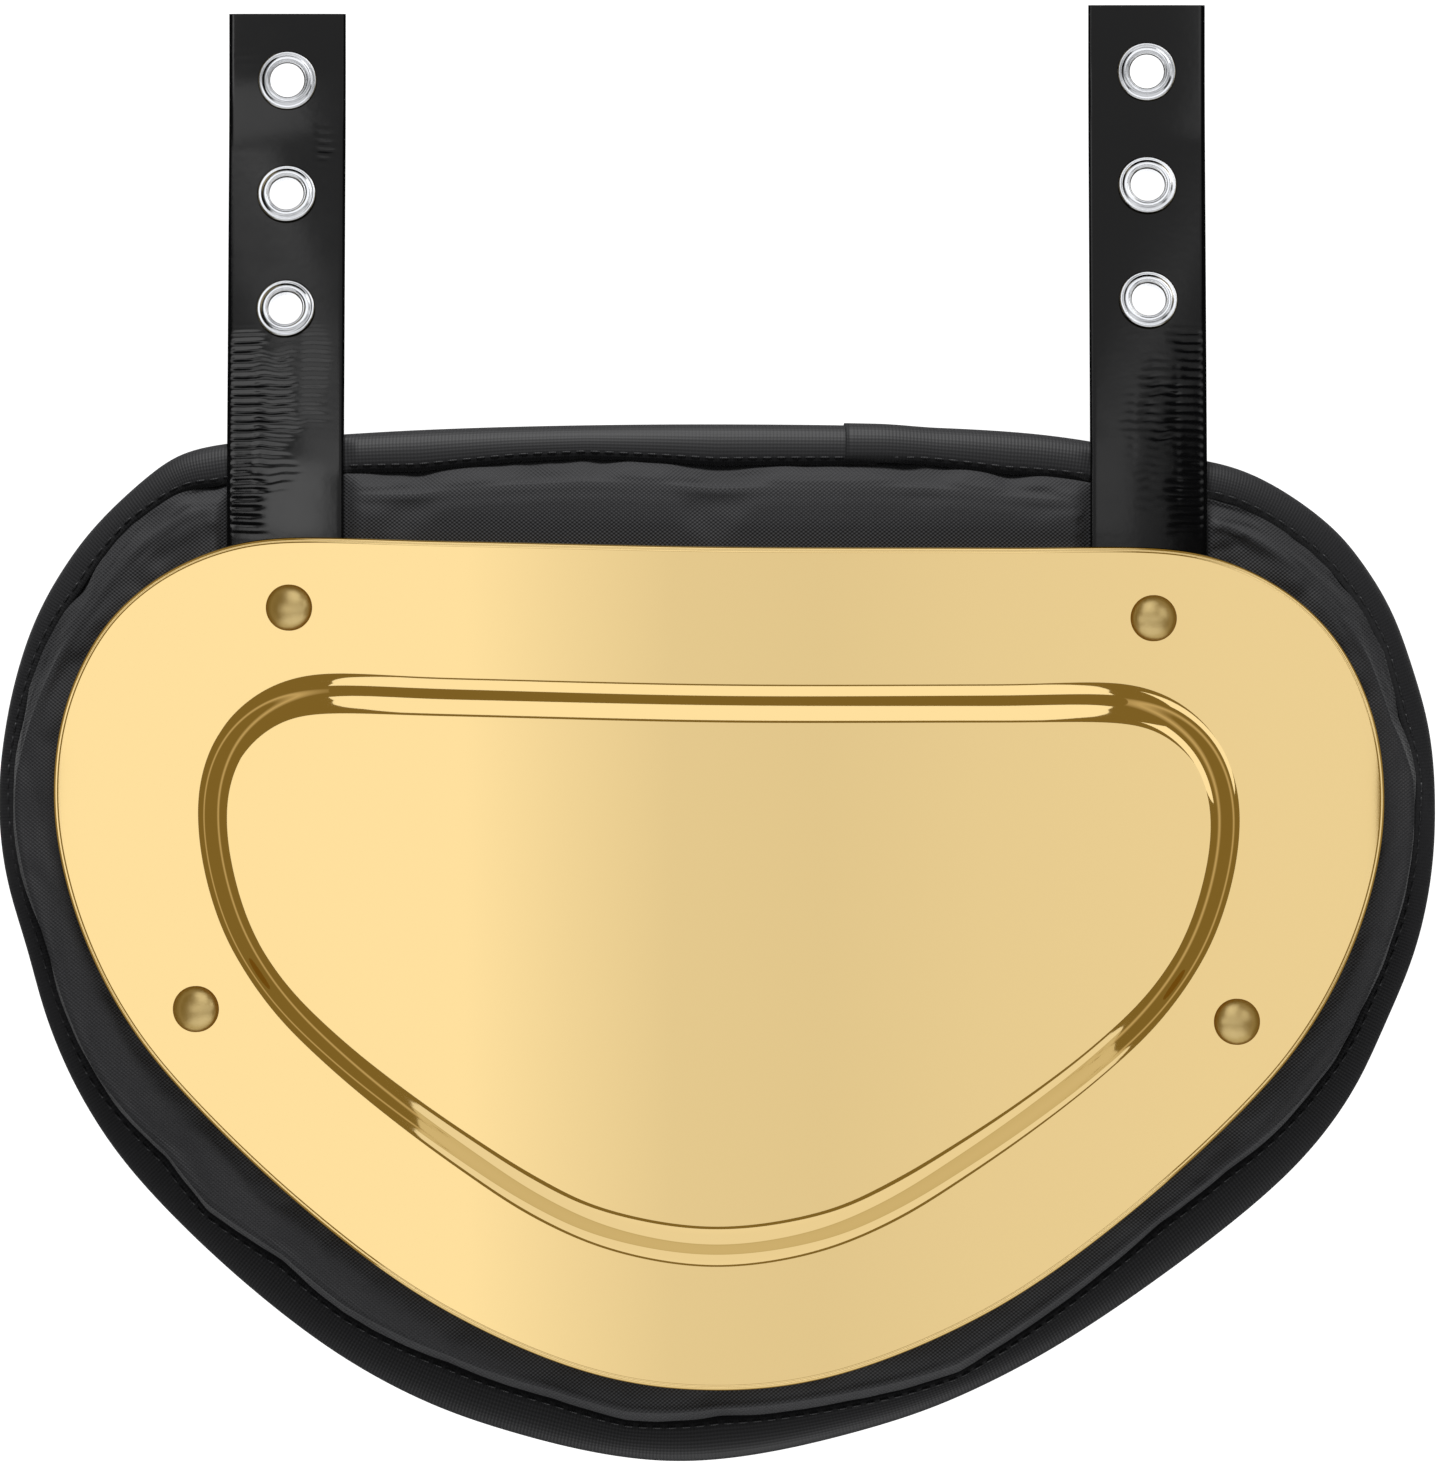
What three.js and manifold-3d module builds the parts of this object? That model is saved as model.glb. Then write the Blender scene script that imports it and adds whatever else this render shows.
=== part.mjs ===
// Football back plate: a curved, gold-plated plastic shell riveted over a cloth-covered foam pad,
// with two coated webbing straps that carry metal eyelets. Millimetres, +Z up.
// It lies face up on a level surface: +Z leaves the crown of the shell, +Y runs to the strap tips.
// Shell and pad are drawn flat as (along, up, height above the pad's back) and then bent round
// a cylinder whose axis runs along Y, under the pad.

import * as THREE from 'three';
import { mergeVertices } from 'three/addons/utils/BufferGeometryUtils.js';
import Module from 'manifold-3d';

const wasm = await Module();
wasm.setup();

// Curve of the whole plate, measured at the pad's back
const archRadius = 520;

// Shell, its extents measured from its own middle as seen from the front
const shellWidth = 289.2;
const shellTop = 92.1;
const shellBottom = 91.2;
const shellWall = 3;
const bevelWidth = 1.4;
const bevelDrop = 1;

// Raised panel: flat land left outside it, width of its sloping side, and its rise
const landSide = 31.3;
const landTop = 29.9;
const landBottom = 27.1;
const stepSide = 6.1;
const stepTop = 8.6;
const stepBottom = 8.1;
const panelRise = 3.4;

// Pad: how far it reaches past the shell, its thickness, and how far its sides settle where they rest
const padSideMargin = 11.7;
const padTopMargin = 25.8;
const padBottomMargin = 15.7;
const padThickness = 14;
const padShoulder = 5;
const sideSettle = 3.5;

// Tape folded over the pad's rim
const bindingWidth = 9.4;
const bindingWall = 1.2;
const bindingNose = 4;
const rimHeight = 9.6;
const rimLift = 1.4;

// Straps
const strapWidth = 25.4;
const strapThickness = 2;
const strapSpacing = 187.2;
const strapReachLeft = 115.6;
const strapReachRight = 117.5;
const strapLevelRun = 2;
const strapFlatRun = 10;
const strapBendShare = 0.2;
const strapTailRun = 14;
const strapTipLift = 0.2;

// Eyelets and their washers
const eyeletHole = 7.3;
const eyeletBarrelWall = 0.6;
const eyeletFlange = 12.8;
const eyeletFlangeHeight = 0.8;
const eyeletRoll = 0.4;
const washerThickness = 0.8;
const eyeletPitch = 25.1;
const eyeletFromTip = 14.6;
const eyeletCount = 3;

// Rivets
const rivetHead = 10;
const rivetHeadHeight = 2.6;
const rivetShank = 4.4;
const rivetTail = 8;
const rivetTailHeight = 0.9;
const coverGrip = 1.6;
const upperRivetFromTop = 15.1;
const lowerRivetSpacing = 225.6;
const lowerRivetDrop = 10.2;

// Clearances between pieces that touch. A strap bends a little under an eyelet, so its flange has more.
const seatGap = 0.3;
const holeGap = 0.3;
const flangeGap = 0.45;

// Fineness of the faceted solids
const loopCount = 56;
const roundSides = 14;
const strapStations = 18;

// Half outlines, from the top middle down the side to the bottom middle. Column up is a share of the
// reach above or below the shell's middle, and half a share of half the width.
const shellRows = [
  { up: 0.992, half: 0 },
  { up: 0.998, half: 0.415 },
  { up: 1, half: 0.671 },
  { up: 0.979, half: 0.745 },
  { up: 0.934, half: 0.816 },
  { up: 0.869, half: 0.878 },
  { up: 0.782, half: 0.93 },
  { up: 0.651, half: 0.974 },
  { up: 0.51, half: 0.997 },
  { up: 0.347, half: 1 },
  { up: 0.195, half: 0.983 },
  { up: 0.043, half: 0.95 },
  { up: -0.11, half: 0.9 },
  { up: -0.263, half: 0.828 },
  { up: -0.57, half: 0.625 },
  { up: -0.811, half: 0.411 },
  { up: -0.965, half: 0.178 },
  { up: -1, half: 0 },
];

const panelFootRows = [
  { up: 0.994, half: 0 },
  { up: 1.005, half: 0.528 },
  { up: 1.012, half: 0.78 },
  { up: 0.976, half: 0.852 },
  { up: 0.923, half: 0.901 },
  { up: 0.838, half: 0.949 },
  { up: 0.743, half: 0.978 },
  { up: 0.61, half: 0.997 },
  { up: 0.45, half: 0.997 },
  { up: 0.258, half: 0.977 },
  { up: 0.055, half: 0.934 },
  { up: -0.164, half: 0.849 },
  { up: -0.341, half: 0.746 },
  { up: -0.512, half: 0.627 },
  { up: -0.685, half: 0.491 },
  { up: -0.847, half: 0.346 },
  { up: -0.958, half: 0.192 },
  { up: -1.007, half: 0 },
];

const panelCrestRows = [
  { up: 0.985, half: 0 },
  { up: 0.998, half: 0.56 },
  { up: 1.001, half: 0.822 },
  { up: 0.983, half: 0.867 },
  { up: 0.95, half: 0.9 },
  { up: 0.892, half: 0.936 },
  { up: 0.818, half: 0.963 },
  { up: 0.707, half: 0.984 },
  { up: 0.559, half: 0.989 },
  { up: 0.377, half: 0.975 },
  { up: 0.154, half: 0.938 },
  { up: -0.067, half: 0.869 },
  { up: -0.278, half: 0.757 },
  { up: -0.485, half: 0.617 },
  { up: -0.659, half: 0.482 },
  { up: -0.804, half: 0.357 },
  { up: -0.918, half: 0.23 },
  { up: -0.989, half: 0 },
];

// The soft pad isn't quite even: it reaches further out at the lower left. Columns as above, with
// left and right apart. The first and last rows are single points, half way between the two.
const padRows = [
  { up: 1, left: 0, right: 0 },
  { up: 0.984, left: 0.499, right: 0.435 },
  { up: 0.95, left: 0.742, right: 0.6 },
  { up: 0.916, left: 0.781, right: 0.733 },
  { up: 0.814, left: 0.864, right: 0.854 },
  { up: 0.746, left: 0.903, right: 0.897 },
  { up: 0.662, left: 0.94, right: 0.936 },
  { up: 0.56, left: 0.969, right: 0.965 },
  { up: 0.441, left: 0.99, right: 0.991 },
  { up: 0.305, left: 1, right: 1 },
  { up: 0.17, left: 0.99, right: 0.995 },
  { up: 0.034, left: 0.96, right: 0.973 },
  { up: -0.112, left: 0.931, right: 0.931 },
  { up: -0.262, left: 0.885, right: 0.881 },
  { up: -0.412, left: 0.815, right: 0.799 },
  { up: -0.655, left: 0.644, right: 0.589 },
  { up: -0.823, left: 0.482, right: 0.402 },
  { up: -0.926, left: 0.319, right: 0.228 },
  { up: -1, left: 0.11, right: 0 },
];

// Side of the raised panel: how far across it a line lies, and how much of the rise it has there
const stepRows = [
  { across: 0, rise: 0 },
  { across: 0.24, rise: 0.14 },
  { across: 0.5, rise: 0.55 },
  { across: 0.76, rise: 0.88 },
  { across: 1, rise: 1 },
];

// Rounded shoulder between the tape's seam and the pad's front, in the same columns
const shoulderRows = [
  { across: 0, rise: 0 },
  { across: 0.3, rise: 0.6 },
  { across: 0.65, rise: 0.92 },
  { across: 1, rise: 1 },
];

// Head of a rivet, as shares of its radius and its height
const headRows = [
  { radius: 1, height: 0 },
  { radius: 1, height: 0.25 },
  { radius: 0.86, height: 0.62 },
  { radius: 0.5, height: 0.92 },
  { radius: 0, height: 1 },
];

// Turns round the nose of the rim, in degrees, and the sizes of the loops inside a face's outermost
const noseTurns = [-90, -45, 0, 45, 90];
const shellShrinks = [0.75, 0.5, 0.25];
const padShrinks = [0.7, 0.35];

// Sizes worked out from those above
const padHalf = shellWidth / 2 + padSideMargin;
const padTop = shellTop + padTopMargin;
const padBottom = shellBottom + padBottomMargin;
const panelHalf = shellWidth / 2 - landSide;
const panelTop = shellTop - landTop;
const panelBottom = shellBottom - landBottom;
const shellSeat = padThickness + seatGap;
const shellFace = shellSeat + shellWall;
const rimMiddle = rimHeight / 2;
const crownHeight = archRadius - Math.sqrt(archRadius ** 2 - padHalf ** 2) - sideSettle;
const eyeletLowest = flangeGap + washerThickness + eyeletRoll;

// Reach of the whole object along Y, which its origin halves
const strapTips = { left: shellTop + strapReachLeft, right: shellTop + strapReachRight };
const middleUp = (Math.max(strapTips.left, strapTips.right) - padBottom) / 2;

// Height over the ground of a surface that lies height above the pad's back, at a place across
function archHeight(across, height) {
  return Math.sqrt((archRadius + height) ** 2 - across ** 2) - archRadius + crownHeight;
}

// Slope across the plate of that surface
function archSlope(across, height) {
  return -across / Math.sqrt((archRadius + height) ** 2 - across ** 2);
}

// Length along the flat sheet of a place that is seen at a distance across once the sheet is bent
function unbend(across, height) {
  return archRadius * Math.asin(across / (archRadius + height));
}

// Bends a point of the flat drawing. It never goes below ground, the lowest that its layer may lie.
function bend(flat, height, ground = -Infinity) {
  const angle = flat.x / archRadius;
  const reach = archRadius + height;
  const z = reach * Math.cos(angle) - archRadius + crownHeight;
  return new THREE.Vector3(reach * Math.sin(angle), flat.y, Math.max(z, ground));
}

// Closed flat outline through the rows, anticlockwise from the top middle, evenly spaced
function outline(rows, half, top, bottom, height) {
  const corner = (row, across) => {
    const up = row.up > 0 ? row.up * top : row.up * bottom;
    return new THREE.Vector3(unbend(across * half, height), up, 0);
  };
  const columns = rows.map((row) => ({ left: row.half, right: row.half, ...row }));
  const sides = columns.slice(1, -1);
  const ends = [columns[0], columns.at(-1)];
  const middles = ends.map((row) => corner(row, (row.right - row.left) / 2));
  const left = sides.map((row) => corner(row, -row.left));
  const right = sides.map((row) => corner(row, row.right)).reverse();
  const curve = new THREE.CatmullRomCurve3([middles[0], ...left, middles[1], ...right], true);
  curve.arcLengthDivisions = 800;
  return curve.getSpacedPoints(loopCount).slice(0, loopCount);
}

// The same outline drawn in by a distance along its own normals
function inset(loop, distance) {
  return loop.map((point, index) => {
    const before = loop.at(index - 1);
    const after = loop[(index + 1) % loop.length];
    const along = after.clone().sub(before).normalize();
    return new THREE.Vector3(point.x - along.y * distance, point.y + along.x * distance, 0);
  });
}

// A loop part of the way from one loop to another
function between(loopA, loopB, share) {
  return loopA.map((point, index) => point.clone().lerp(loopB[index], share));
}

// A loop shrunk towards the middle of the plate
function shrink(loop, share) {
  return loop.map((point) => point.clone().multiplyScalar(share));
}

// Closed surface through a row of loops with as many points each, or single points at its ends.
// A ring of loops meets itself and has no ends, and its faces are split along the other diagonal, so
// that its inner side splits as the surface that it faces does.
function skin(loops, ring = false) {
  const starts = [];
  const points = [];
  for (const loop of loops) {
    starts.push(points.length);
    points.push(...loop);
  }
  const faces = [];
  const joins = ring ? loops.length : loops.length - 1;
  for (let row = 0; row < joins; row += 1) {
    const next = (row + 1) % loops.length;
    const lower = loops[row];
    const upper = loops[next];
    const count = Math.max(lower.length, upper.length);
    for (let step = 0; step < count; step += 1) {
      const turn = (step + 1) % count;
      const a = starts[row] + (lower.length > 1 ? step : 0);
      const b = starts[row] + (lower.length > 1 ? turn : 0);
      const c = starts[next] + (upper.length > 1 ? turn : 0);
      const d = starts[next] + (upper.length > 1 ? step : 0);
      if (ring) faces.push(a, b, d, b, c, d);
      if (!ring && lower.length > 1) faces.push(a, b, c);
      if (!ring && upper.length > 1) faces.push(a, c, d);
    }
  }
  const geometry = new THREE.BufferGeometry().setFromPoints(points);
  geometry.setIndex(faces);
  return geometry;
}

function toSolid(geometry) {
  const bare = geometry.clone();
  bare.deleteAttribute('normal');
  bare.deleteAttribute('uv');
  const merged = mergeVertices(bare, 1e-5);
  const vertProperties = new Float32Array(merged.attributes.position.array);
  const triVerts = new Uint32Array(merged.index.array);
  return new wasm.Manifold(new wasm.Mesh({ numProp: 3, vertProperties, triVerts }));
}

function toGeometry(solid) {
  const mesh = solid.getMesh();
  const geometry = new THREE.BufferGeometry();
  geometry.setAttribute('position', new THREE.BufferAttribute(mesh.vertProperties, 3));
  geometry.setIndex(new THREE.BufferAttribute(mesh.triVerts, 1));
  return geometry;
}

// What is left of a piece once others are cut out of it
function cut(geometry, cutters) {
  let solid = toSolid(geometry);
  for (const cutter of cutters) solid = solid.subtract(toSolid(cutter));
  return toGeometry(solid);
}

// Turned piece from a profile of radius and height pairs that starts and ends on its axis, or closes
function turned(profile, closes = false) {
  const points = profile.map(([radius, height]) => new THREE.Vector2(radius, height));
  if (closes) points.push(points[0].clone());
  const geometry = new THREE.LatheGeometry(points, roundSides);
  geometry.rotateX(Math.PI / 2);
  return geometry;
}

// Puts a copy of a turned piece, drawn along Z, at a point and along a normal
function standing(geometry, point, normal) {
  const turn = new THREE.Quaternion().setFromUnitVectors(new THREE.Vector3(0, 0, 1), normal);
  const place = new THREE.Matrix4().compose(point, turn, new THREE.Vector3(1, 1, 1));
  return geometry.clone().applyMatrix4(place);
}

// Shell: underside from its middle out, the bevelled edge, then the face back to the middle
function makeShell(rivets) {
  const edge = outline(shellRows, shellWidth / 2, shellTop, shellBottom, shellFace);
  const foot = outline(panelFootRows, panelHalf, panelTop, panelBottom, shellFace);
  const crest = outline(
    panelCrestRows,
    panelHalf - stepSide,
    panelTop - stepTop,
    panelBottom - stepBottom,
    shellFace + panelRise,
  );
  const side = stepRows.map((row) => ({
    loop: between(foot, crest, row.across),
    rise: row.rise * panelRise,
  }));
  const inner = shellShrinks.map((share) => ({ loop: shrink(crest, share), rise: panelRise }));
  const middle = { loop: [new THREE.Vector3()], rise: panelRise };
  const land = { loop: between(edge, foot, 0.5), rise: 0 };
  const face = [land, ...side, ...inner, middle];
  const laid = (rows, level) => rows.map(({ loop, rise }) => loop.map((point) => bend(point, level + rise)));
  const under = laid(face, shellSeat).reverse();
  const over = laid(face, shellFace);
  const rim = [
    edge.map((point) => bend(point, shellSeat)),
    edge.map((point) => bend(point, shellFace - bevelDrop)),
    inset(edge, bevelWidth).map((point) => bend(point, shellFace)),
  ];
  return cut(skin([...under, ...rim, ...over]), rivets);
}

// Rounded nose of the pad's rim, some way inside the tape's outer surface. The last loop is the top.
function rimNose(edge, depth) {
  return noseTurns.map((degrees) => {
    const angle = THREE.MathUtils.degToRad(degrees);
    const inward = depth + (bindingNose - depth) * (1 - Math.cos(angle));
    const height = rimMiddle + (rimMiddle - depth) * Math.sin(angle);
    return inset(edge, inward).map((point) => bend(point, height, depth));
  });
}

// Outline of the rim, where the pad is widest
function rimOutline() {
  return outline(padRows, padHalf, padTop, padBottom, rimMiddle);
}

// Pad: back from its middle out, rim inside the tape, shoulder, and front back to the middle
function makePad(cutters) {
  const edge = rimOutline();
  const depth = bindingWall + seatGap;
  const seam = bindingWidth + seatGap;
  const crest = inset(edge, seam + padShoulder);
  const back = [
    [bend(new THREE.Vector3(), 0)],
    ...padShrinks.toReversed().map((share) => shrink(crest, share).map((point) => bend(point, 0, 0))),
    crest.map((point) => bend(point, 0, 0)),
    inset(edge, seam).map((point) => bend(point, 0, 0)),
    inset(edge, seam).map((point) => bend(point, depth, depth)),
  ];
  const top = rimHeight + rimLift;
  const shoulder = [
    inset(edge, seam).map((point) => bend(point, top - depth)),
    ...shoulderRows.map(({ across, rise }) => {
      const height = THREE.MathUtils.lerp(top, padThickness, rise);
      return inset(edge, seam + padShoulder * across).map((point) => bend(point, height));
    }),
  ];
  const front = [
    ...padShrinks.map((share) => shrink(crest, share).map((point) => bend(point, padThickness))),
    [bend(new THREE.Vector3(), padThickness)],
  ];
  return cut(skin([...back, ...rimNose(edge, depth), ...shoulder, ...front]), cutters);
}

// Binding: the tape's outer surface round the rim, and its inner surface back again
function makeBinding(cutters) {
  const edge = rimOutline();
  const leg = inset(edge, bindingWidth);
  const top = rimHeight + rimLift;
  const loops = [
    leg.map((point) => bend(point, 0, 0)),
    ...rimNose(edge, 0),
    leg.map((point) => bend(point, top)),
    leg.map((point) => bend(point, top - bindingWall)),
    ...rimNose(edge, bindingWall).reverse(),
    leg.map((point) => bend(point, bindingWall, bindingWall)),
  ];
  return cut(skin(loops, true), cutters);
}

// Middle line of a strap: level under the shell and over the pad's edge, then down to the ground
const strapTopHeight = archHeight(strapSpacing / 2, shellSeat) - seatGap - strapThickness / 2;
const strapTipHeight = strapTipLift + eyeletLowest + strapThickness / 2;

// How far down its slope a strap is at a place up the plate, from 0 on the pad to 1 on the ground.
// It bends over the first share of the way, runs straight, and bends level again over the last.
function strapFall(up, tip) {
  const from = shellTop + strapLevelRun;
  const share = THREE.MathUtils.clamp((up - from) / (tip - strapFlatRun - from), 0, 1);
  const steepness = 1 / (1 - strapBendShare);
  if (share < strapBendShare) return (steepness * share ** 2) / (2 * strapBendShare);
  if (share > 1 - strapBendShare) return 1 - (steepness * (1 - share) ** 2) / (2 * strapBendShare);
  return steepness * (share - strapBendShare / 2);
}

// A strap's middle surface and its normal. The strap follows the arch at first and lies flat at its tip.
function strapPlace(side, across, up) {
  const tip = strapTips[side.name];
  const middle = (side.sign * strapSpacing) / 2;
  const fall = strapFall(up, tip);
  const arch = archHeight(middle + across, shellSeat) - archHeight(middle, shellSeat);
  const height = THREE.MathUtils.lerp(strapTopHeight, strapTipHeight, fall) + (1 - fall) * arch;
  const step = 0.01;
  const slope = ((strapFall(up + step, tip) - strapFall(up - step, tip)) / (2 * step))
    * (strapTipHeight - strapTopHeight);
  const roll = (1 - fall) * archSlope(middle + across, shellSeat);
  const normal = new THREE.Vector3(-roll, -slope, 1).normalize();
  return { point: new THREE.Vector3(middle + across, up, height), normal };
}

// Strap body, or with a clearance and headroom the room that it needs when it is laid in from above
function strapBody(side, clearance = 0, headroom = 0) {
  const tip = strapTips[side.name];
  const from = shellTop - upperRivetFromTop - strapTailRun - clearance;
  const half = strapWidth / 2 + clearance;
  const lift = strapThickness / 2 + clearance;
  const across = [-half, 0, half];
  const loops = [];
  for (let station = 0; station <= strapStations; station += 1) {
    const up = THREE.MathUtils.lerp(from, tip + clearance, station / strapStations);
    const at = (offset, height) => {
      const { point, normal } = strapPlace(side, offset, up);
      return point.addScaledVector(normal, height);
    };
    const over = across.map((offset) => at(offset, lift + headroom));
    const under = across.toReversed().map((offset) => at(offset, -lift));
    loops.push([...over, ...under]);
  }
  const ends = [from, tip + clearance].map((up) => strapPlace(side, 0, up).point);
  return skin([[ends[0]], ...loops, [ends[1]]]);
}

// Places of a strap's eyelets, the first nearest its tip
function eyeletPlaces(side) {
  const first = strapTips[side.name] - eyeletFromTip;
  const rows = Array.from({ length: eyeletCount }, (_, index) => first - index * eyeletPitch);
  return rows.map((up) => strapPlace(side, 0, up));
}

// Round bar along Z, as far up as down, that cuts a hole
function drill(diameter, reach) {
  const radius = diameter / 2;
  return turned([[0, -reach], [radius, -reach], [radius, reach], [0, reach]]);
}

// Eyelet drawn about the strap's middle surface: flange with a rounded rim, and a rolled barrel
function eyeletGeometry() {
  const hole = eyeletHole / 2;
  const barrel = hole + eyeletBarrelWall;
  const rim = eyeletFlange / 2;
  const seat = strapThickness / 2 + flangeGap;
  const lowest = -strapThickness / 2 - eyeletLowest;
  return turned([
    [hole, lowest],
    [barrel, lowest],
    [barrel, seat],
    [rim, seat],
    [rim, seat + eyeletFlangeHeight / 2],
    [rim - eyeletFlangeHeight, seat + eyeletFlangeHeight],
    [barrel, seat + eyeletFlangeHeight],
    [hole, seat + eyeletFlangeHeight / 2],
  ], true);
}

// Washer under the strap, round the barrel
function washerGeometry() {
  const hole = eyeletHole / 2 + eyeletBarrelWall + holeGap;
  const rim = eyeletFlange / 2;
  const top = -strapThickness / 2 - flangeGap;
  return turned([[hole, top - washerThickness], [rim, top - washerThickness], [rim, top], [hole, top]], true);
}

// Rivet drawn with its head's seat on the shell's face at Z = 0, or with a clearance the room it needs
function rivetGeometry(grip, clearance) {
  const head = rivetHead / 2;
  const shank = rivetShank / 2 + clearance;
  const tail = rivetTail / 2 + clearance;
  const tailTop = -grip + clearance;
  const tailBottom = -grip - rivetTailHeight - clearance;
  const profile = [[0, tailBottom], [tail, tailBottom], [tail, tailTop], [shank, tailTop]];
  if (clearance > 0) return turned([...profile, [shank, rivetHeadHeight], [0, rivetHeadHeight]]);
  const dome = headRows.map(({ radius, height }) => [head * radius, seatGap + rivetHeadHeight * height]);
  return turned([...profile, [shank, seatGap], ...dome]);
}

// Where each rivet stands on the shell's face, and what it grips
function rivetPlaces(side) {
  const upperGrip = shellWall + seatGap + strapThickness + seatGap + coverGrip;
  const lowerGrip = shellWall + seatGap + coverGrip;
  const rows = [
    { name: 'upper', across: strapSpacing / 2, up: shellTop - upperRivetFromTop, grip: upperGrip },
    { name: 'lower', across: lowerRivetSpacing / 2, up: -lowerRivetDrop, grip: lowerGrip },
  ];
  return rows.map((row) => {
    const across = side.sign * row.across;
    const point = new THREE.Vector3(across, row.up, archHeight(across, shellFace));
    const normal = new THREE.Vector3(-archSlope(across, shellFace), 0, 1).normalize();
    return { name: `rivet_${row.name}_${side.name}`, grip: row.grip, point, normal };
  });
}

const finishes = {
  goldPlate: { color: 0xe6c783, roughness: 0.08, metalness: 1 },
  satinGold: { color: 0xc9a866, roughness: 0.35, metalness: 1 },
  padCloth: { color: 0x26262a, roughness: 0.85, metalness: 0 },
  tape: { color: 0x1e1e21, roughness: 0.8, metalness: 0 },
  coatedWebbing: { color: 0x1b1b1d, roughness: 0.45, metalness: 0 },
  nickel: { color: 0xc8c8c6, roughness: 0.25, metalness: 1 },
};

const group = new THREE.Group();
group.position.y = -middleUp;

function add(name, geometry, finish) {
  const mesh = new THREE.Mesh(geometry, new THREE.MeshStandardMaterial(finishes[finish]));
  mesh.name = name;
  group.add(mesh);
}

const sides = [{ name: 'left', sign: -1 }, { name: 'right', sign: 1 }];
const rivets = sides.flatMap(rivetPlaces);
const rivetRoom = rivets.map(({ grip, point, normal }) => {
  const room = rivetGeometry(grip, holeGap);
  return standing(room, point, normal);
});
const strapRoom = sides.map((side) => strapBody(side, seatGap, padThickness));

add('shell', makeShell(rivetRoom), 'goldPlate');
add('pad', makePad([...strapRoom, ...rivetRoom]), 'padCloth');
add('binding', makeBinding(strapRoom), 'tape');

for (const side of sides) {
  const places = eyeletPlaces(side);
  const barrelHole = drill(eyeletHole + 2 * (eyeletBarrelWall + holeGap), strapThickness * 2);
  const holes = places.map(({ point, normal }) => standing(barrelHole, point, normal));
  add(`strap_${side.name}`, cut(strapBody(side), [...holes, ...rivetRoom]), 'coatedWebbing');
  places.forEach(({ point, normal }, index) => {
    const copy = `${side.name}_${index + 1}`;
    add(`eyelet_${copy}`, standing(eyeletGeometry(), point, normal), 'nickel');
    add(`washer_${copy}`, standing(washerGeometry(), point, normal), 'nickel');
  });
}

for (const { name, grip, point, normal } of rivets) {
  add(name, standing(rivetGeometry(grip, 0), point, normal), 'satinGold');
}

export default group;
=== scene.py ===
# Football back plate: how it looks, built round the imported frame. Metres, +Z up, +Y to the strap tips.
# It lies face up: a mirror-bright gold-plated shell on a cloth-covered foam pad, with two coated straps.
# Shell and pad are drawn flat, as (along, up) and a height above the pad's back, and then bent round
# a cylinder whose axis runs along Y. Up is measured from the middle of the shell.

import math

import bpy
import numpy as np
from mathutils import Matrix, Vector, noise


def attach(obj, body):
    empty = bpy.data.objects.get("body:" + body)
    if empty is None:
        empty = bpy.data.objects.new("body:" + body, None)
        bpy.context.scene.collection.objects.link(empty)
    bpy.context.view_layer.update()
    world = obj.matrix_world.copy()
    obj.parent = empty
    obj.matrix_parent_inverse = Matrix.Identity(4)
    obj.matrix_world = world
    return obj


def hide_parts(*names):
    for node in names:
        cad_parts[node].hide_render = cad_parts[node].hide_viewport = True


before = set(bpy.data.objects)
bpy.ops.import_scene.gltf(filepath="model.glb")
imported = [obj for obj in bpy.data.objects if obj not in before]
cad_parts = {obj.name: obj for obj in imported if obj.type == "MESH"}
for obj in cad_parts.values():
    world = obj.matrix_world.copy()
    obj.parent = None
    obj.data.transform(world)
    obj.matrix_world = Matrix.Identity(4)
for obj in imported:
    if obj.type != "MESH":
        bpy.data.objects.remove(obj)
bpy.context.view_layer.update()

# Curve of the whole plate, measured at the pad's back
ARCH_RADIUS = 0.52

# Shell
SHELL_WIDTH = 0.2892
SHELL_TOP = 0.0921
SHELL_BOTTOM = 0.0912
SHELL_WALL = 0.003
SHELL_TURN = math.radians(-0.7)
SHELL_BACK_ROUND = 0.0002

# Raised panel: flat land left outside it, width of its sloping side, and its rise
LAND_SIDE = 0.0313
LAND_TOP = 0.0299
LAND_BOTTOM = 0.0271
STEP_SIDE = 0.0061
STEP_TOP = 0.0086
STEP_BOTTOM = 0.0081
PANEL_RISE = 0.0034
STEP_FOOT_SHARE = 0.37
STEP_CREST_SHARE = 0.45

# Pad and the tape folded over its rim
PAD_SIDE_MARGIN = 0.0117
PAD_TOP_MARGIN = 0.0258
PAD_BOTTOM_MARGIN = 0.0157
PAD_THICKNESS = 0.014
SIDE_SETTLE = 0.0035
RIM_HEIGHT = 0.0096
RIM_NOSE = 0.004
RIM_SQUARENESS = 0.74
TAPE_WIDTH = 0.0094
TAPE_WALL = 0.0012
TAPE_RISE = 0.0014
TAPE_DROP = 0.0028
TAPE_JOINT = 0.962
TAPE_LAP = 0.008
TAPE_LAP_LIFT = 0.0007
TAPE_SHOWN_ROUND = 0.00012837
SHOULDER_TOP = 0.005
SHOULDER_LOW = 0.0018
PAD_CROWN = 0.0002
RIDGE_FOLD = 0.0003
SEAM_FULLNESS = 0.0009
SHORTEST_FOLD = 0.0022
SWELL_LIMIT = 0.0007
WRINKLE_DEPTH = 0.0006
WRINKLE_ROW = 0.00045
WRINKLE_ROUND = 0.018
COVER_TUCK = 0.012

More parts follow.
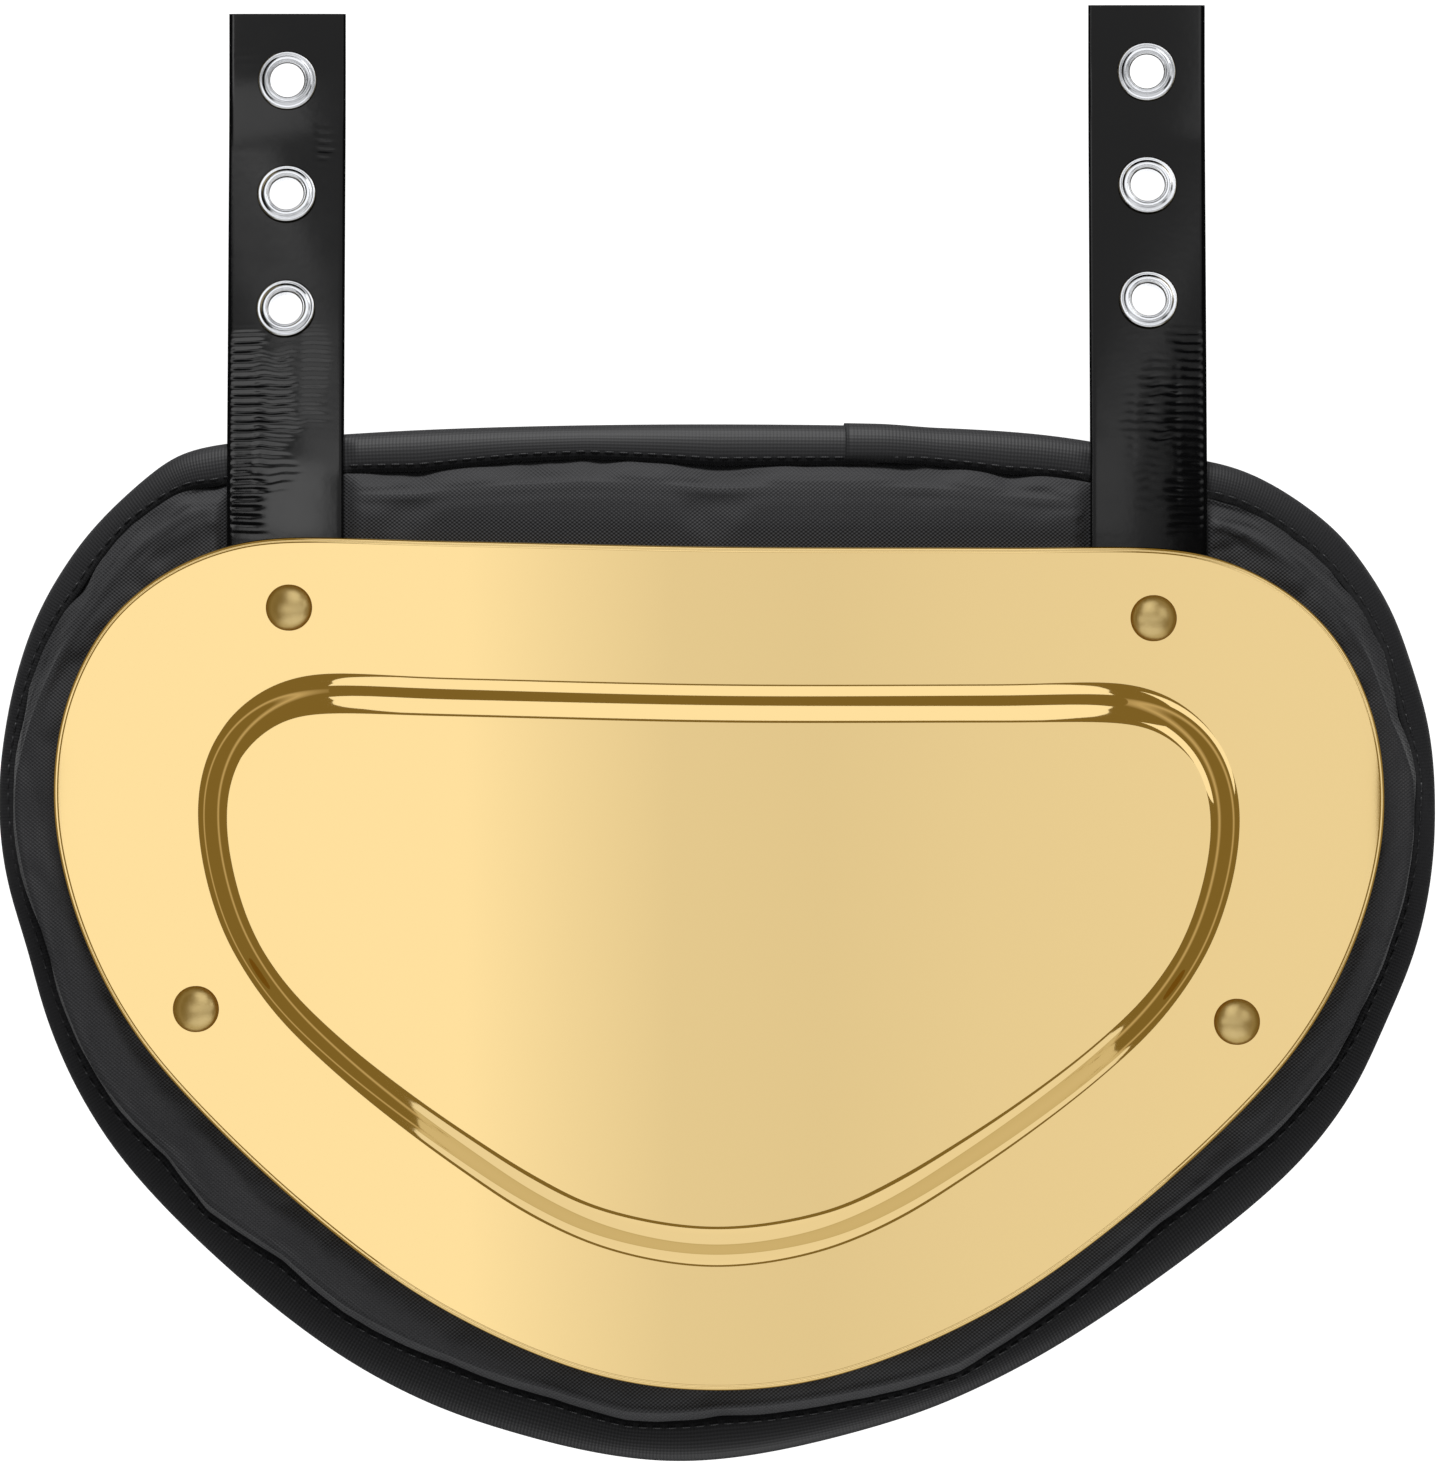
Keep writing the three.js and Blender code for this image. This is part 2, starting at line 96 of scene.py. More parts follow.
# Straps
STRAP_WIDTH = 0.0254
STRAP_THICKNESS = 0.002
STRAP_SPACING = 0.1872
STRAP_REACH = {"left": 0.1156, "right": 0.1175}
STRAP_LEVEL_RUN = 0.002
STRAP_FLAT_RUN = 0.01
STRAP_BEND_SHARE = 0.2
STRAP_TIP_LIFT = 0.0002
STRAP_HIDDEN = 0.012
STRAP_SHOWN_UNDER = 0.001
STRAP_BOW = 0.0003
STRAP_ROW = 0.00026
CREASE_PITCH = 0.0019
CREASE_SHARPNESS = 1.4
CREASE_FADE = 0.006

# Eyelets and their washers
EYELET_HOLE = 0.0073
EYELET_FLANGE = 0.0128
EYELET_BARREL_WALL = 0.0006
EYELET_HEIGHT = 0.0008
EYELET_ROLL = 0.0004
EYELET_FLARE = 0.00042
WASHER_THICKNESS = 0.0008
EYELET_PITCH = 0.0251
EYELET_FROM_TIP = 0.0146
EYELET_COUNT = 3

# Rivets
RIVET_HEAD = 0.01
RIVET_HEIGHT = 0.0026
RIVET_SHANK = 0.0044
UPPER_RIVET_FROM_TOP = 0.0151
LOWER_RIVET_SPACING = 0.2256
LOWER_RIVET_DROP = 0.0102

# Studio: half the floor's width, the glow of floor and room, and what gold shows between the panels
FLOOR_HALF = 3.0
FLOOR_GLOW = 0.93
ROOM_GLOW = 0.3
DIM = (0.205, 0.153, 0.05)
# Windows that the coated straps show as sheen: name, middle, width, depth and power
SHEEN_HEIGHT = 0.4
SHEENS = [
    ("sheen_left_near_shell", -0.245, 0.1375, 0.12, 0.195, 0.105),
    ("sheen_left_below_eyelets", -0.1525, 0.265, 0.125, 0.12, 0.036),
    ("sheen_left_between_eyelets", -0.28, 0.425, 0.28, 0.15, 0.14),
    ("sheen_right", 0.185, 0.1825, 0.07, 0.285, 0.03),
]

# Clearances between pieces that touch
SEAT_GAP = 0.0003
FLANGE_GAP = 0.00045
PRESS_GAP = 0.00015
PRESS_SIDE = 0.003
PRESS_SIDE_RISE = 0.008
SEAM_GAP = 0.0002

# Stitches along the tape
STITCH_LENGTH = 0.0023
STITCH_PITCH = 0.0031
STITCH_THICKNESS = 0.00045
STITCH_INSET = 0.0014
# Bar of one stitch: share of its length from its middle, share of its radius, and how far it is sunk
STITCH_ROWS = [
    (-0.5, 0.2, 0.9), (-0.4, 0.8, 0.3), (-0.15, 1, 0), (0.15, 1, 0), (0.4, 0.8, 0.3), (0.5, 0.2, 0.9),
]

# How the pad's cover behaves while it is filled
FILLING = {
    "quality": 5, "mass": 0.15, "tension_stiffness": 20, "compression_stiffness": 20, "shear_stiffness": 5,
    "bending_stiffness": 0.05, "shrink_min": -0.035, "use_pressure": True, "uniform_pressure_force": 4,
}
FILLING_STEPS = 20

# Fineness of the meshes
SHELL_POINTS = 720
LAND_RINGS = 18
STEP_RINGS = 52
PANEL_RINGS = 24
PAD_POINTS = 640
WALL_RINGS = 13
FRONT_RINGS = 17
FREE_FRONT_RINGS = 16
STRAP_COLUMNS = 56
TURNED_SIDES = 72
HOLE_SIDES = 40
THREAD_SIDES = 8
PANEL_ROWS = 33
PANEL_COLUMNS = 49

# Half outlines, from the top middle down the side to the bottom middle: share of the reach above or
# below the shell's middle, and share of half the width
SHELL_ROWS = [
    (0.992, 0), (0.998, 0.415), (1, 0.671), (0.979, 0.745), (0.934, 0.816), (0.869, 0.878),
    (0.782, 0.93), (0.651, 0.974), (0.51, 0.997), (0.347, 1), (0.195, 0.983), (0.043, 0.95),
    (-0.11, 0.9), (-0.263, 0.828), (-0.57, 0.625), (-0.811, 0.411), (-0.965, 0.178), (-1, 0),
]
PANEL_FOOT_ROWS = [
    (0.994, 0), (1.005, 0.528), (1.012, 0.78), (0.976, 0.852), (0.923, 0.901), (0.838, 0.949),
    (0.743, 0.978), (0.61, 0.997), (0.45, 0.997), (0.258, 0.977), (0.055, 0.934), (-0.164, 0.849),
    (-0.341, 0.746), (-0.512, 0.627), (-0.685, 0.491), (-0.847, 0.346), (-0.958, 0.192), (-1.007, 0),
]
PANEL_CREST_ROWS = [
    (0.985, 0), (0.998, 0.56), (1.001, 0.822), (0.983, 0.867), (0.95, 0.9), (0.892, 0.936),
    (0.818, 0.963), (0.707, 0.984), (0.559, 0.989), (0.377, 0.975), (0.154, 0.938), (-0.067, 0.869),
    (-0.278, 0.757), (-0.485, 0.617), (-0.659, 0.482), (-0.804, 0.357), (-0.918, 0.23), (-0.989, 0),
]
# The soft pad isn't quite even, so its rows have left and right apart
PAD_ROWS = [
    (1, 0, 0), (0.984, 0.499, 0.435), (0.95, 0.742, 0.6), (0.916, 0.781, 0.733),
    (0.814, 0.864, 0.854), (0.746, 0.903, 0.897), (0.662, 0.94, 0.936), (0.56, 0.969, 0.965),
    (0.441, 0.99, 0.991), (0.305, 1, 1), (0.17, 0.99, 0.995), (0.034, 0.96, 0.973),
    (-0.112, 0.931, 0.931), (-0.262, 0.885, 0.881), (-0.412, 0.815, 0.799), (-0.655, 0.644, 0.589),
    (-0.823, 0.482, 0.402), (-0.926, 0.319, 0.228), (-1, 0.11, 0),
]
# Width of the tape that shows, as a share of TAPE_WIDTH, at shares of the way round from the top middle
TAPE_SHOWN = [
    (0, 0.94), (0.013, 0.86), (0.032, 0.76), (0.049, 0.8), (0.073, 0.95), (0.1, 0.86), (0.125, 0.95),
    (0.153, 0.7), (0.176, 0.74), (0.196, 0.56), (0.228, 0.44), (0.251, 0.5), (0.275, 0.54),
    (0.311, 0.6), (0.34, 0.88), (0.357, 0.72), (0.38, 1), (0.401, 0.92), (0.431, 1.06), (0.46, 1.02),
    (0.48, 0.88), (0.505, 0.98), (0.529, 0.82), (0.567, 0.56), (0.584, 0.7), (0.631, 1.04),
    (0.652, 1.05), (0.686, 0.88), (0.704, 0.72), (0.729, 0.72), (0.773, 0.56), (0.79, 0.74),
    (0.808, 0.68), (0.84, 0.86), (0.879, 0.86), (0.929, 0.98), (0.949, 0.86), (0.968, 0.9),
]
# Edge of the shell, from its outline in: how far in, and how far below the face
EDGE_ROWS = [
    (0, 0.0011), (0.00004, 0.0007), (0.00015, 0.00038), (0.00033, 0.00013), (0.00054, 0.00002),
    (0.0007, 0), (0.00082, 0.00003), (0.00096, 0.00009), (0.0011, 0.00003), (0.00122, 0), (0.0013, 0),
]
# Creases in the straps: from and to across, as shares of the width from the outer edge; from and to
# up, from the middle of the shell; depth; and how uneven they are
CREASES = {
    "left": [
        (0.02, 0.36, 0.092, 0.1405, 0.00017, 0.15), (0.22, 0.66, 0.1, 0.138, 0.0001, 0.9),
        (0.62, 0.9, 0.116, 0.1415, 0.00007, 0.3), (0.72, 0.99, 0.171, 0.186, 0.00006, 0.4),
        (0.01, 0.3, 0.195, 0.202, 0.00006, 0.3),
    ],
    "right": [
        (0.02, 0.35, 0.092, 0.141, 0.00017, 0.15), (0.22, 0.62, 0.097, 0.1345, 0.0001, 0.9),
        (0.6, 0.76, 0.108, 0.1275, 0.00005, 0.4), (0.62, 0.95, 0.177, 0.189, 0.00006, 0.4),
        (0.01, 0.3, 0.196, 0.201, 0.00006, 0.3),
    ],
}
# Face of an eyelet's flange from its rim in: how far in, and share of its height over its seat
FLANGE_ROWS = [
    (0.0003, -0.25), (0, 0), (-0.00002, 0.275), (0.00012, 0.5625), (0.00035, 0.725), (0.0006, 0.7),
    (0.0008, 0.6), (0.0009, 0.625), (0.00115, 0.825), (0.0015, 0.975), (0.00185, 1), (0.0021, 0.95),
    (0.00225, 0.775),
]
# The lip round its hole: how far out from the hole, and share of its height
LIP_ROWS = [
    (0.00045, 0.85), (0.00033, 0.9), (0.0002, 0.8), (0.00009, 0.5625), (0.00002, 0.25), (0, -0.125),
]
# Head of a rivet, as shares of its radius and its height
HEAD_ROWS = [
    (1, 0), (1, 0.12), (0.985, 0.22), (0.94, 0.36), (0.86, 0.52), (0.75, 0.67), (0.6, 0.81),
    (0.44, 0.9), (0.27, 0.965), (0.12, 0.993), (0, 1),
]

# Sizes worked out from those above
PAD_HALF = SHELL_WIDTH / 2 + PAD_SIDE_MARGIN
PAD_TOP = SHELL_TOP + PAD_TOP_MARGIN
PAD_BOTTOM = SHELL_BOTTOM + PAD_BOTTOM_MARGIN
PANEL_HALF = SHELL_WIDTH / 2 - LAND_SIDE
PANEL_TOP = SHELL_TOP - LAND_TOP
PANEL_BOTTOM = SHELL_BOTTOM - LAND_BOTTOM
SHELL_SEAT = PAD_THICKNESS + SEAT_GAP
SHELL_FACE = SHELL_SEAT + SHELL_WALL
RIM_MIDDLE = RIM_HEIGHT / 2
CROWN_HEIGHT = ARCH_RADIUS - math.sqrt(ARCH_RADIUS**2 - PAD_HALF**2) - SIDE_SETTLE
STRAP_TIPS = {side: SHELL_TOP + reach for side, reach in STRAP_REACH.items()}
MIDDLE_UP = (max(STRAP_TIPS.values()) - PAD_BOTTOM) / 2
SIDES = {"left": -1, "right": 1}


# Curves and surfaces


def smooth_step(value, start, end):
    share = np.clip((value - start) / (end - start), 0, 1)
    return share * share * (3 - 2 * share)


def arch_height(across, height):
    """Height over the ground, seen at a distance across, of what lies height above the pad's back."""
    return np.sqrt((ARCH_RADIUS + height) ** 2 - across**2) - ARCH_RADIUS + CROWN_HEIGHT


def arch_slope(across, height):
    return -across / np.sqrt((ARCH_RADIUS + height) ** 2 - across**2)


def bend(flat, height, ground=None):
    """Bends points of the flat drawing, and never lets them go below ground if that is given."""
    angle = flat[:, 0] / ARCH_RADIUS
    reach = ARCH_RADIUS + height
    rise = reach * np.cos(angle) - ARCH_RADIUS + CROWN_HEIGHT
    if ground is not None:
        rise = np.maximum(rise, ground)
    return np.column_stack([reach * np.sin(angle), flat[:, 1] - MIDDLE_UP, rise])


def through(points, steps=60):
    """Closed smooth curve through points."""
    before, after, later = (np.roll(points, shift, 0) for shift in (1, -1, -2))
    pairs = ((before, points), (points, after), (after, later))
    first, middle, last = (np.sqrt(np.linalg.norm(b - a, axis=1))[:, None] for a, b in pairs)
    leaving = ((points - before) / first - (after - before) / (first + middle)) * middle + after - points
    coming = ((later - after) / last - (later - points) / (middle + last)) * middle + after - points
    share = np.linspace(0, 1, steps, endpoint=False)[None, :, None]
    points, after, leaving, coming = (part[:, None, :] for part in (points, after, leaving, coming))
    curve = (2 * share**3 - 3 * share**2 + 1) * points + (share**3 - 2 * share**2 + share) * leaving
    curve = curve + (3 * share**2 - 2 * share**3) * after + (share**3 - share**2) * coming
    return curve.reshape(-1, 2)


def lengths_along(points):
    """How far along a path each of its points is."""
    return np.concatenate([[0], np.cumsum(np.linalg.norm(np.diff(points, axis=0), axis=1))])


def evenly(curve, count):
    """Evenly spaced points round a closed curve."""
    closed = np.vstack([curve, curve[:1]])
    lengths = lengths_along(closed)
    wanted = np.linspace(0, lengths[-1], count, endpoint=False)
    return np.column_stack([np.interp(wanted, lengths, closed[:, axis]) for axis in (0, 1)])


def soften(rows, spacing, reach):
    """Rows of values evenly spaced round a loop, with what is shorter than reach smoothed away."""
    count = rows.shape[-2]
    waves = np.fft.rfftfreq(count, d=spacing)
    fade = np.exp(-2 * (math.pi * reach * waves) ** 2)[:, None]
    return np.fft.irfft(np.fft.rfft(rows, axis=-2) * fade, n=count, axis=-2)


def spacing_of(loop):
    return np.linalg.norm(loop[1] - loop[0])


def outline(rows, half, top, bottom, height, count, soft=0.003):
    """Evenly spaced flat loop through half outlines, anticlockwise from the top middle."""
    def corner(up, across):
        return [
            ARCH_RADIUS * math.asin(across * half / (ARCH_RADIUS + height)),
            up * (top if up > 0 else bottom),
        ]
    ends = [corner(row[0], (row[-1] - row[1]) / 2) for row in (rows[0], rows[-1])]
    left = [corner(row[0], -row[1]) for row in rows[1:-1]]
    right = [corner(row[0], row[-1]) for row in reversed(rows[1:-1])]
    loop = evenly(through(np.array([ends[0], *left, ends[1], *right])), count)
    return soften(loop, spacing_of(loop), soft)


def inset(loop, distance):
    """A closed loop drawn in along its own normals, by one distance or one for each point."""
    along = np.roll(loop, -1, 0) - np.roll(loop, 1, 0)
    along /= np.linalg.norm(along, axis=1)[:, None]
    inward = np.column_stack([-along[:, 1], along[:, 0]])
    return loop + inward * np.broadcast_to(distance, (len(loop),))[:, None]


def turned_flat(loop):
    """A flat loop turned with the shell, about its middle."""
    c, s = math.cos(SHELL_TURN), math.sin(SHELL_TURN)
    return loop @ np.array([[c, s], [-s, c]])


def unevenness(columns, size, seed):
    """Smooth random values from -1 to 1 at points, with bumps of about a size."""
    place = Vector((seed * 7.3, seed * 3.1, seed * 5.7))
    return np.array([noise.noise(Vector(point) / size + place) for point in zip(*columns)])


# Meshes


def add_object(name, data):
    made = bpy.data.objects.new(name, data)
    bpy.context.scene.collection.objects.link(made)
    return made


def make_piece(name, points, faces, material, slot="", stands_for=(), uvs=None):
    mesh = bpy.data.meshes.new(name)
    mesh.from_pydata([tuple(point) for point in points], [], faces)
    mesh.update()
    if uvs is not None:
        corners = np.empty(len(mesh.loops), dtype=np.int32)
        mesh.loops.foreach_get("vertex_index", corners)
        layer = mesh.uv_layers.new(name="UVMap")
        layer.data.foreach_set("uv", np.asarray(uvs)[corners].ravel())
    mesh.polygons.foreach_set("use_smooth", [True] * len(mesh.polygons))
    mesh.materials.append(material)
    piece = add_object(name, mesh)
    if slot:
        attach(piece, "root")
    if stands_for:
        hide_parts(*stands_for)
    return piece


def points_of(piece):
    return np.array([vertex.co for vertex in piece.data.vertices])


def move_points(piece, points):
    piece.data.vertices.foreach_set("co", points.ravel())
    piece.data.update()


def skin(rings, round_rings=True):
    """Points and faces of a surface through rings of points, or single points at its ends."""
    starts = np.cumsum([0] + [len(ring) for ring in rings])
    faces = []
    for row in range(len(rings) - 1):
        low, high = len(rings[row]), len(rings[row + 1])
        count = max(low, high)
        for step in range(count if round_rings else count - 1):
            turn = (step + 1) % count
            face = [int(starts[row])] if low == 1 else [int(starts[row] + place) for place in (step, turn)]
            above = starts[row + 1]
            face += [int(above)] if high == 1 else [int(above + place) for place in (turn, step)]
            faces.append(face)
    return np.vstack(rings), faces


def closed_skin(rings):
    """A skin with a flat end on its first and on its last ring."""
    points, faces = skin(rings)
    count = len(rings[0])
    last = len(points) - count
    return points, faces + [list(range(count))[::-1], list(range(last, last + count))]


def turned(profile, sides=TURNED_SIDES):
    """Rings of a turned piece from (radius, height) pairs. One on the axis is a single point."""
    angles = np.linspace(0, 2 * math.pi, sides, endpoint=False)
    rings = []
    for radius, height in profile:
        if radius == 0:
            rings.append(np.array([[0, 0, height]]))
        else:
            level = np.full(sides, height)
            rings.append(np.column_stack([radius * np.cos(angles), radius * np.sin(angles), level]))
    return rings


def standing(rings, point, normal):
    """Rings drawn about Z, set at a point and turned to a normal."""
    turn = Vector((0, 0, 1)).rotation_difference(Vector(normal)).to_matrix()
    return [ring @ np.array(turn).T + np.asarray(point) for ring in rings]


# Materials


def colour(code):
    """Linear red, green, blue and alpha of an sRGB hex colour."""
    parts = [int(code[start:start + 2], 16) / 255 for start in (1, 3, 5)]
    return (*(part / 12.92 if part <= 0.04045 else ((part + 0.055) / 1.055) ** 2.4 for part in parts), 1)


def node(tree, kind, inputs=None, **settings):
    """Adds a node with its settings. An input takes a value, a socket, or a node for its first output."""
    made = tree.nodes.new("ShaderNode" + kind)
    for name, value in settings.items():
        setattr(made, name, value)
    for name, value in (inputs or {}).items():
        if isinstance(value, bpy.types.Node):
            value = value.outputs[0]
        if isinstance(value, bpy.types.NodeSocket):
            tree.links.new(value, made.inputs[name])
        else:
            made.inputs[name].default_value = value
    return made


def new_material(name):
    """A material and its tree, without nodes."""
    material = bpy.data.materials.new(name)
    material.use_nodes = True
    material.node_tree.nodes.clear()
    return material, material.node_tree


def material_of(surface):
    """A material named for its surface, whose function adds the patterns and gives the shader's inputs."""
    material, tree = new_material(surface.__name__)
    shader = node(tree, "BsdfPrincipled", surface(tree))
    node(tree, "OutputMaterial", {"Surface": shader})
    return material


def lumps(tree, size, detail=2):
    """Soft noise with lumps of a real size."""
    place = node(tree, "TexCoord").outputs["Object"]
    return node(tree, "TexNoise", {"Vector": place, "Scale": 1 / size, "Detail": detail})


def wave(tree, value, pitch):
    """Sine of a length in metres, one wave a pitch."""
    phase = node(tree, "Math", {0: value, 1: 2 * math.pi / pitch}, operation="MULTIPLY")
    return node(tree, "Math", {0: phase}, operation="SINE")


def axes(tree, where="Object"):
    place = node(tree, "TexCoord").outputs[where]
    return node(tree, "SeparateXYZ", {"Vector": place}).outputs


def vacuum_gold(tree):
    """Vacuum-metallised gold on moulded ABS: a mirror, with the plastic's slow waves and faint smudges."""
    smudges = node(tree, "MapRange", {"Value": lumps(tree, 0.02, 4), "To Min": 0.02, "To Max": 0.05})
    moulding = node(tree, "Bump", {"Height": lumps(tree, 0.045, 1), "Distance": 0.00002})
    return {"Base Color": colour("#ffe09e"), "Metallic": 1, "Roughness": smudges, "Normal": moulding}


def satin_gold_plating(tree):
    """Brushed gold-coloured plating on the rivets: the room shows as soft patches only."""
    # Real brushing is about 0.1 mm apart. Drawn at 0.6 mm, so that it shows
    brushing = lumps(tree, 0.0006)
    satin = node(tree, "MapRange", {"Value": brushing, "To Min": 0.3, "To Max": 0.4})
    scratches = node(tree, "Bump", {"Height": brushing, "Distance": 0.000002})
    return {"Base Color": colour("#e3c98c"), "Metallic": 1, "Roughness": satin, "Normal": scratches}


def nylon_oxford(tree):
    """Black nylon oxford: a plain weave of thick yarns that shows as fine dots, slightly greyed, with
    painted shade in the weave's hollows and lighter yarn tops.
    """
    across, up, _ = axes(tree)
    # Real yarns are 0.5 mm apart. Drawn at 0.8 mm, so that they show
    yarn = 0.0008
    warp, weft = wave(tree, across, yarn * 1.25), wave(tree, up, yarn)
    weave = node(tree, "Math", {0: warp, 1: weft}, operation="MULTIPLY")
    lift = node(tree, "Math", {0: weave, 1: 0.5, 2: 0.5}, operation="MULTIPLY_ADD")
    greys = {0: lumps(tree, 0.03, 3), 6: colour("#2e2e30"), 7: colour("#38383b")}
    worn = node(tree, "Mix", greys, data_type="RGBA").outputs[2]
    # Painted shade: the low parts of the weave are darker and the yarn tops lighter
    painted_weave_shade = node(tree, "Mix", {0: lift, 6: colour("#222224"), 7: worn}, data_type="RGBA")
    yarns = node(tree, "Bump", {"Height": weave, "Distance": 0.00008, "Strength": 0.8})
    return {
        "Base Color": painted_weave_shade.outputs[2], "Roughness": 0.72, "IOR": 1.53, "Sheen Weight": 0.12,
        "Sheen Roughness": 0.45, "Normal": yarns,
    }


def grosgrain_tape(tree):
    """Black polyester grosgrain tape: fine ribs across it that catch the light, with painted shade between
    the ribs and lighter rib tops.
    """
    along, across, _ = axes(tree, "UV")
    # Real ribs are 0.5 mm apart. Drawn at 0.75 mm, so that they show
    ribs, threads = wave(tree, along, 0.00075), wave(tree, across, 0.0008)
    weave = node(tree, "Math", {0: threads, 1: 0.6, 2: ribs}, operation="MULTIPLY_ADD")
    lift = node(tree, "Math", {0: weave, 1: 0.4, 2: 0.5}, operation="MULTIPLY_ADD")
    greys = {0: lift, 6: colour("#1c1c1e"), 7: colour("#232326")}
    # Painted shade: the low parts between ribs and threads are darker and the rib tops lighter
    painted_weave_shade = node(tree, "Mix", greys, data_type="RGBA")
    yarns = node(tree, "Bump", {"Height": weave, "Distance": 0.00003, "Strength": 0.5})
    return {
        "Base Color": painted_weave_shade.outputs[2], "Roughness": 0.62, "IOR": 1.57, "Sheen Weight": 0.1,
        "Sheen Roughness": 0.4, "Normal": yarns,
    }


def coated_webbing(tree):
    """Vinyl-coated polyester webbing: semi-gloss black skin, slightly uneven where it has been handled."""
    wear = node(tree, "MapRange", {"Value": lumps(tree, 0.006, 3), "To Min": 0.1, "To Max": 0.19})
    orange_peel = node(tree, "Bump", {"Height": lumps(tree, 0.0016), "Distance": 0.00002, "Strength": 0.5})
    return {"Base Color": colour("#111112"), "Roughness": wear, "IOR": 1.53, "Normal": orange_peel}


def bright_nickel(tree):
    """Bright nickel plating on pressed steel, satin from handling: it shows windows with soft edges."""
    handled = node(tree, "MapRange", {"Value": lumps(tree, 0.004, 1), "To Min": 0.14, "To Max": 0.22})
    return {"Base Color": colour("#dcdee2"), "Metallic": 1, "Roughness": handled}


def bonded_thread(tree):
    """Bonded nylon sewing thread: two plies whose twist catches the light."""
    plies = wave(tree, axes(tree)[0], 0.0005)
    twist = node(tree, "Bump", {"Height": plies, "Distance": 0.00003})
    return {"Base Color": colour("#2b2b2d"), "Roughness": 0.55, "IOR": 1.53, "Normal": twist}


# Pieces


def make_shell(material):
    count = SHELL_POINTS
    edge = outline(SHELL_ROWS, SHELL_WIDTH / 2, SHELL_TOP, SHELL_BOTTOM, SHELL_FACE, count)
    foot = outline(PANEL_FOOT_ROWS, PANEL_HALF, PANEL_TOP, PANEL_BOTTOM, SHELL_FACE, count)
    crest = outline(
        PANEL_CREST_ROWS, PANEL_HALF - STEP_SIDE, PANEL_TOP - STEP_TOP, PANEL_BOTTOM - STEP_BOTTOM,
        SHELL_FACE + PANEL_RISE, count,
    )
    edge, foot, crest = map(turned_flat, (edge, foot, crest))
    rings = [bend(foot * 0.9, SHELL_SEAT)]
    rings += [bend(inset(edge, inward), SHELL_SEAT) for inward in (SHELL_WALL, SHELL_BACK_ROUND)]
    rings.append(bend(edge, SHELL_SEAT + SHELL_BACK_ROUND))
    rings += [bend(inset(edge, inward), SHELL_FACE - drop) for inward, drop in EDGE_ROWS]
    inner_edge = inset(edge, EDGE_ROWS[-1][0])
    for share in np.linspace(0, 1, LAND_RINGS + 2)[1:-1]:
        rings.append(bend(inner_edge + (foot - inner_edge) * share, SHELL_FACE))
    for turn in np.linspace(0, math.pi, STEP_RINGS):
        share = 0.5 - 0.5 * math.cos(turn)
        rings.append(bend(foot + (crest - foot) * share, SHELL_FACE + PANEL_RISE * step_rise(share)))
    for share in np.linspace(1, 0, PANEL_RINGS + 2)[1:-1]:
        rings.append(bend(crest * share, SHELL_FACE + PANEL_RISE))
    rings.append(bend(np.zeros((1, 2)), SHELL_FACE + PANEL_RISE))
    points, faces = skin(rings)
    return make_piece("gold_shell", points, faces, material, "gold_plate", ["shell"])


def step_rise(share):
    """Share of the rise that the panel's side has at a share of its width: two rounds and a straight."""
    steep = 2 / (1 + STEP_CREST_SHARE - STEP_FOOT_SHARE)
    if share < STEP_FOOT_SHARE:
        return steep * share**2 / (2 * STEP_FOOT_SHARE)
    if share > STEP_CREST_SHARE:
        return 1 - steep * (1 - share) ** 2 / (2 * (1 - STEP_CREST_SHARE))
    return steep * (share - STEP_FOOT_SHARE / 2)


def rim_loop():
    """Where the pad is widest, how much tape shows there, and how far down it is from the top, 0 to 1."""
    loop = outline(PAD_ROWS, PAD_HALF, PAD_TOP, PAD_BOTTOM, RIM_MIDDLE, PAD_POINTS, 0.004)
    round_share = np.arange(PAD_POINTS) / PAD_POINTS
    shares, widths = np.array(TAPE_SHOWN).T
    shown = TAPE_WIDTH * np.interp(round_share, shares, widths, period=1)
    shown = soften(shown[:, None], spacing_of(loop), TAPE_SHOWN_ROUND)[:, 0]
    low = 1 - smooth_step(loop[:, 1], 0.03, 0.085)
    return loop, shown, low


def rim_nose(loop, shown, drop, depth):
    """Rings round the rim's nose, some way inside the tape's outer face, from its back leg to its seam."""
    top = RIM_HEIGHT + TAPE_RISE - drop
    rings = []
    for degrees in (-90, -60, -35, -15, 0, 8, 16, 25, 34, 43, 52, 60, 68, 75, 82, 90):
        turn = math.radians(abs(degrees))
        out, up = math.cos(turn) ** RIM_SQUARENESS, math.sin(turn) ** RIM_SQUARENESS
        if degrees < 0:
            reach, height = RIM_NOSE, RIM_MIDDLE - (RIM_MIDDLE - depth) * up
        else:
            reach, height = shown, RIM_MIDDLE + (top - depth - RIM_MIDDLE) * up
        rings.append(bend(inset(loop, depth + (reach - depth) * (1 - out)), height, depth))
    return rings


def pressed(points):
    """Points of the soft pad pushed down where a strap lies on them."""
    low = points.copy()
    for side, sign in SIDES.items():
        across = points[:, 0] - sign * STRAP_SPACING / 2
        beside = np.abs(across) - STRAP_WIDTH / 2
        near = (beside < 2 * PRESS_SIDE) & (points[:, 1] > SHELL_TOP - STRAP_HIDDEN - MIDDLE_UP)
        inside = np.clip(across, -STRAP_WIDTH / 2, STRAP_WIDTH / 2)
        middle, normals = strap_place(side, inside, points[:, 1] + MIDDLE_UP)
        under = middle[:, 2] - STRAP_THICKNESS / 2 / normals[:, 2] - PRESS_GAP
        side_rise = PRESS_SIDE_RISE * smooth_step(beside, 0.0002, 2 * PRESS_SIDE)
        low[:, 2] = np.where(near, np.minimum(low[:, 2], np.maximum(under + side_rise, 0)), low[:, 2])
    return low


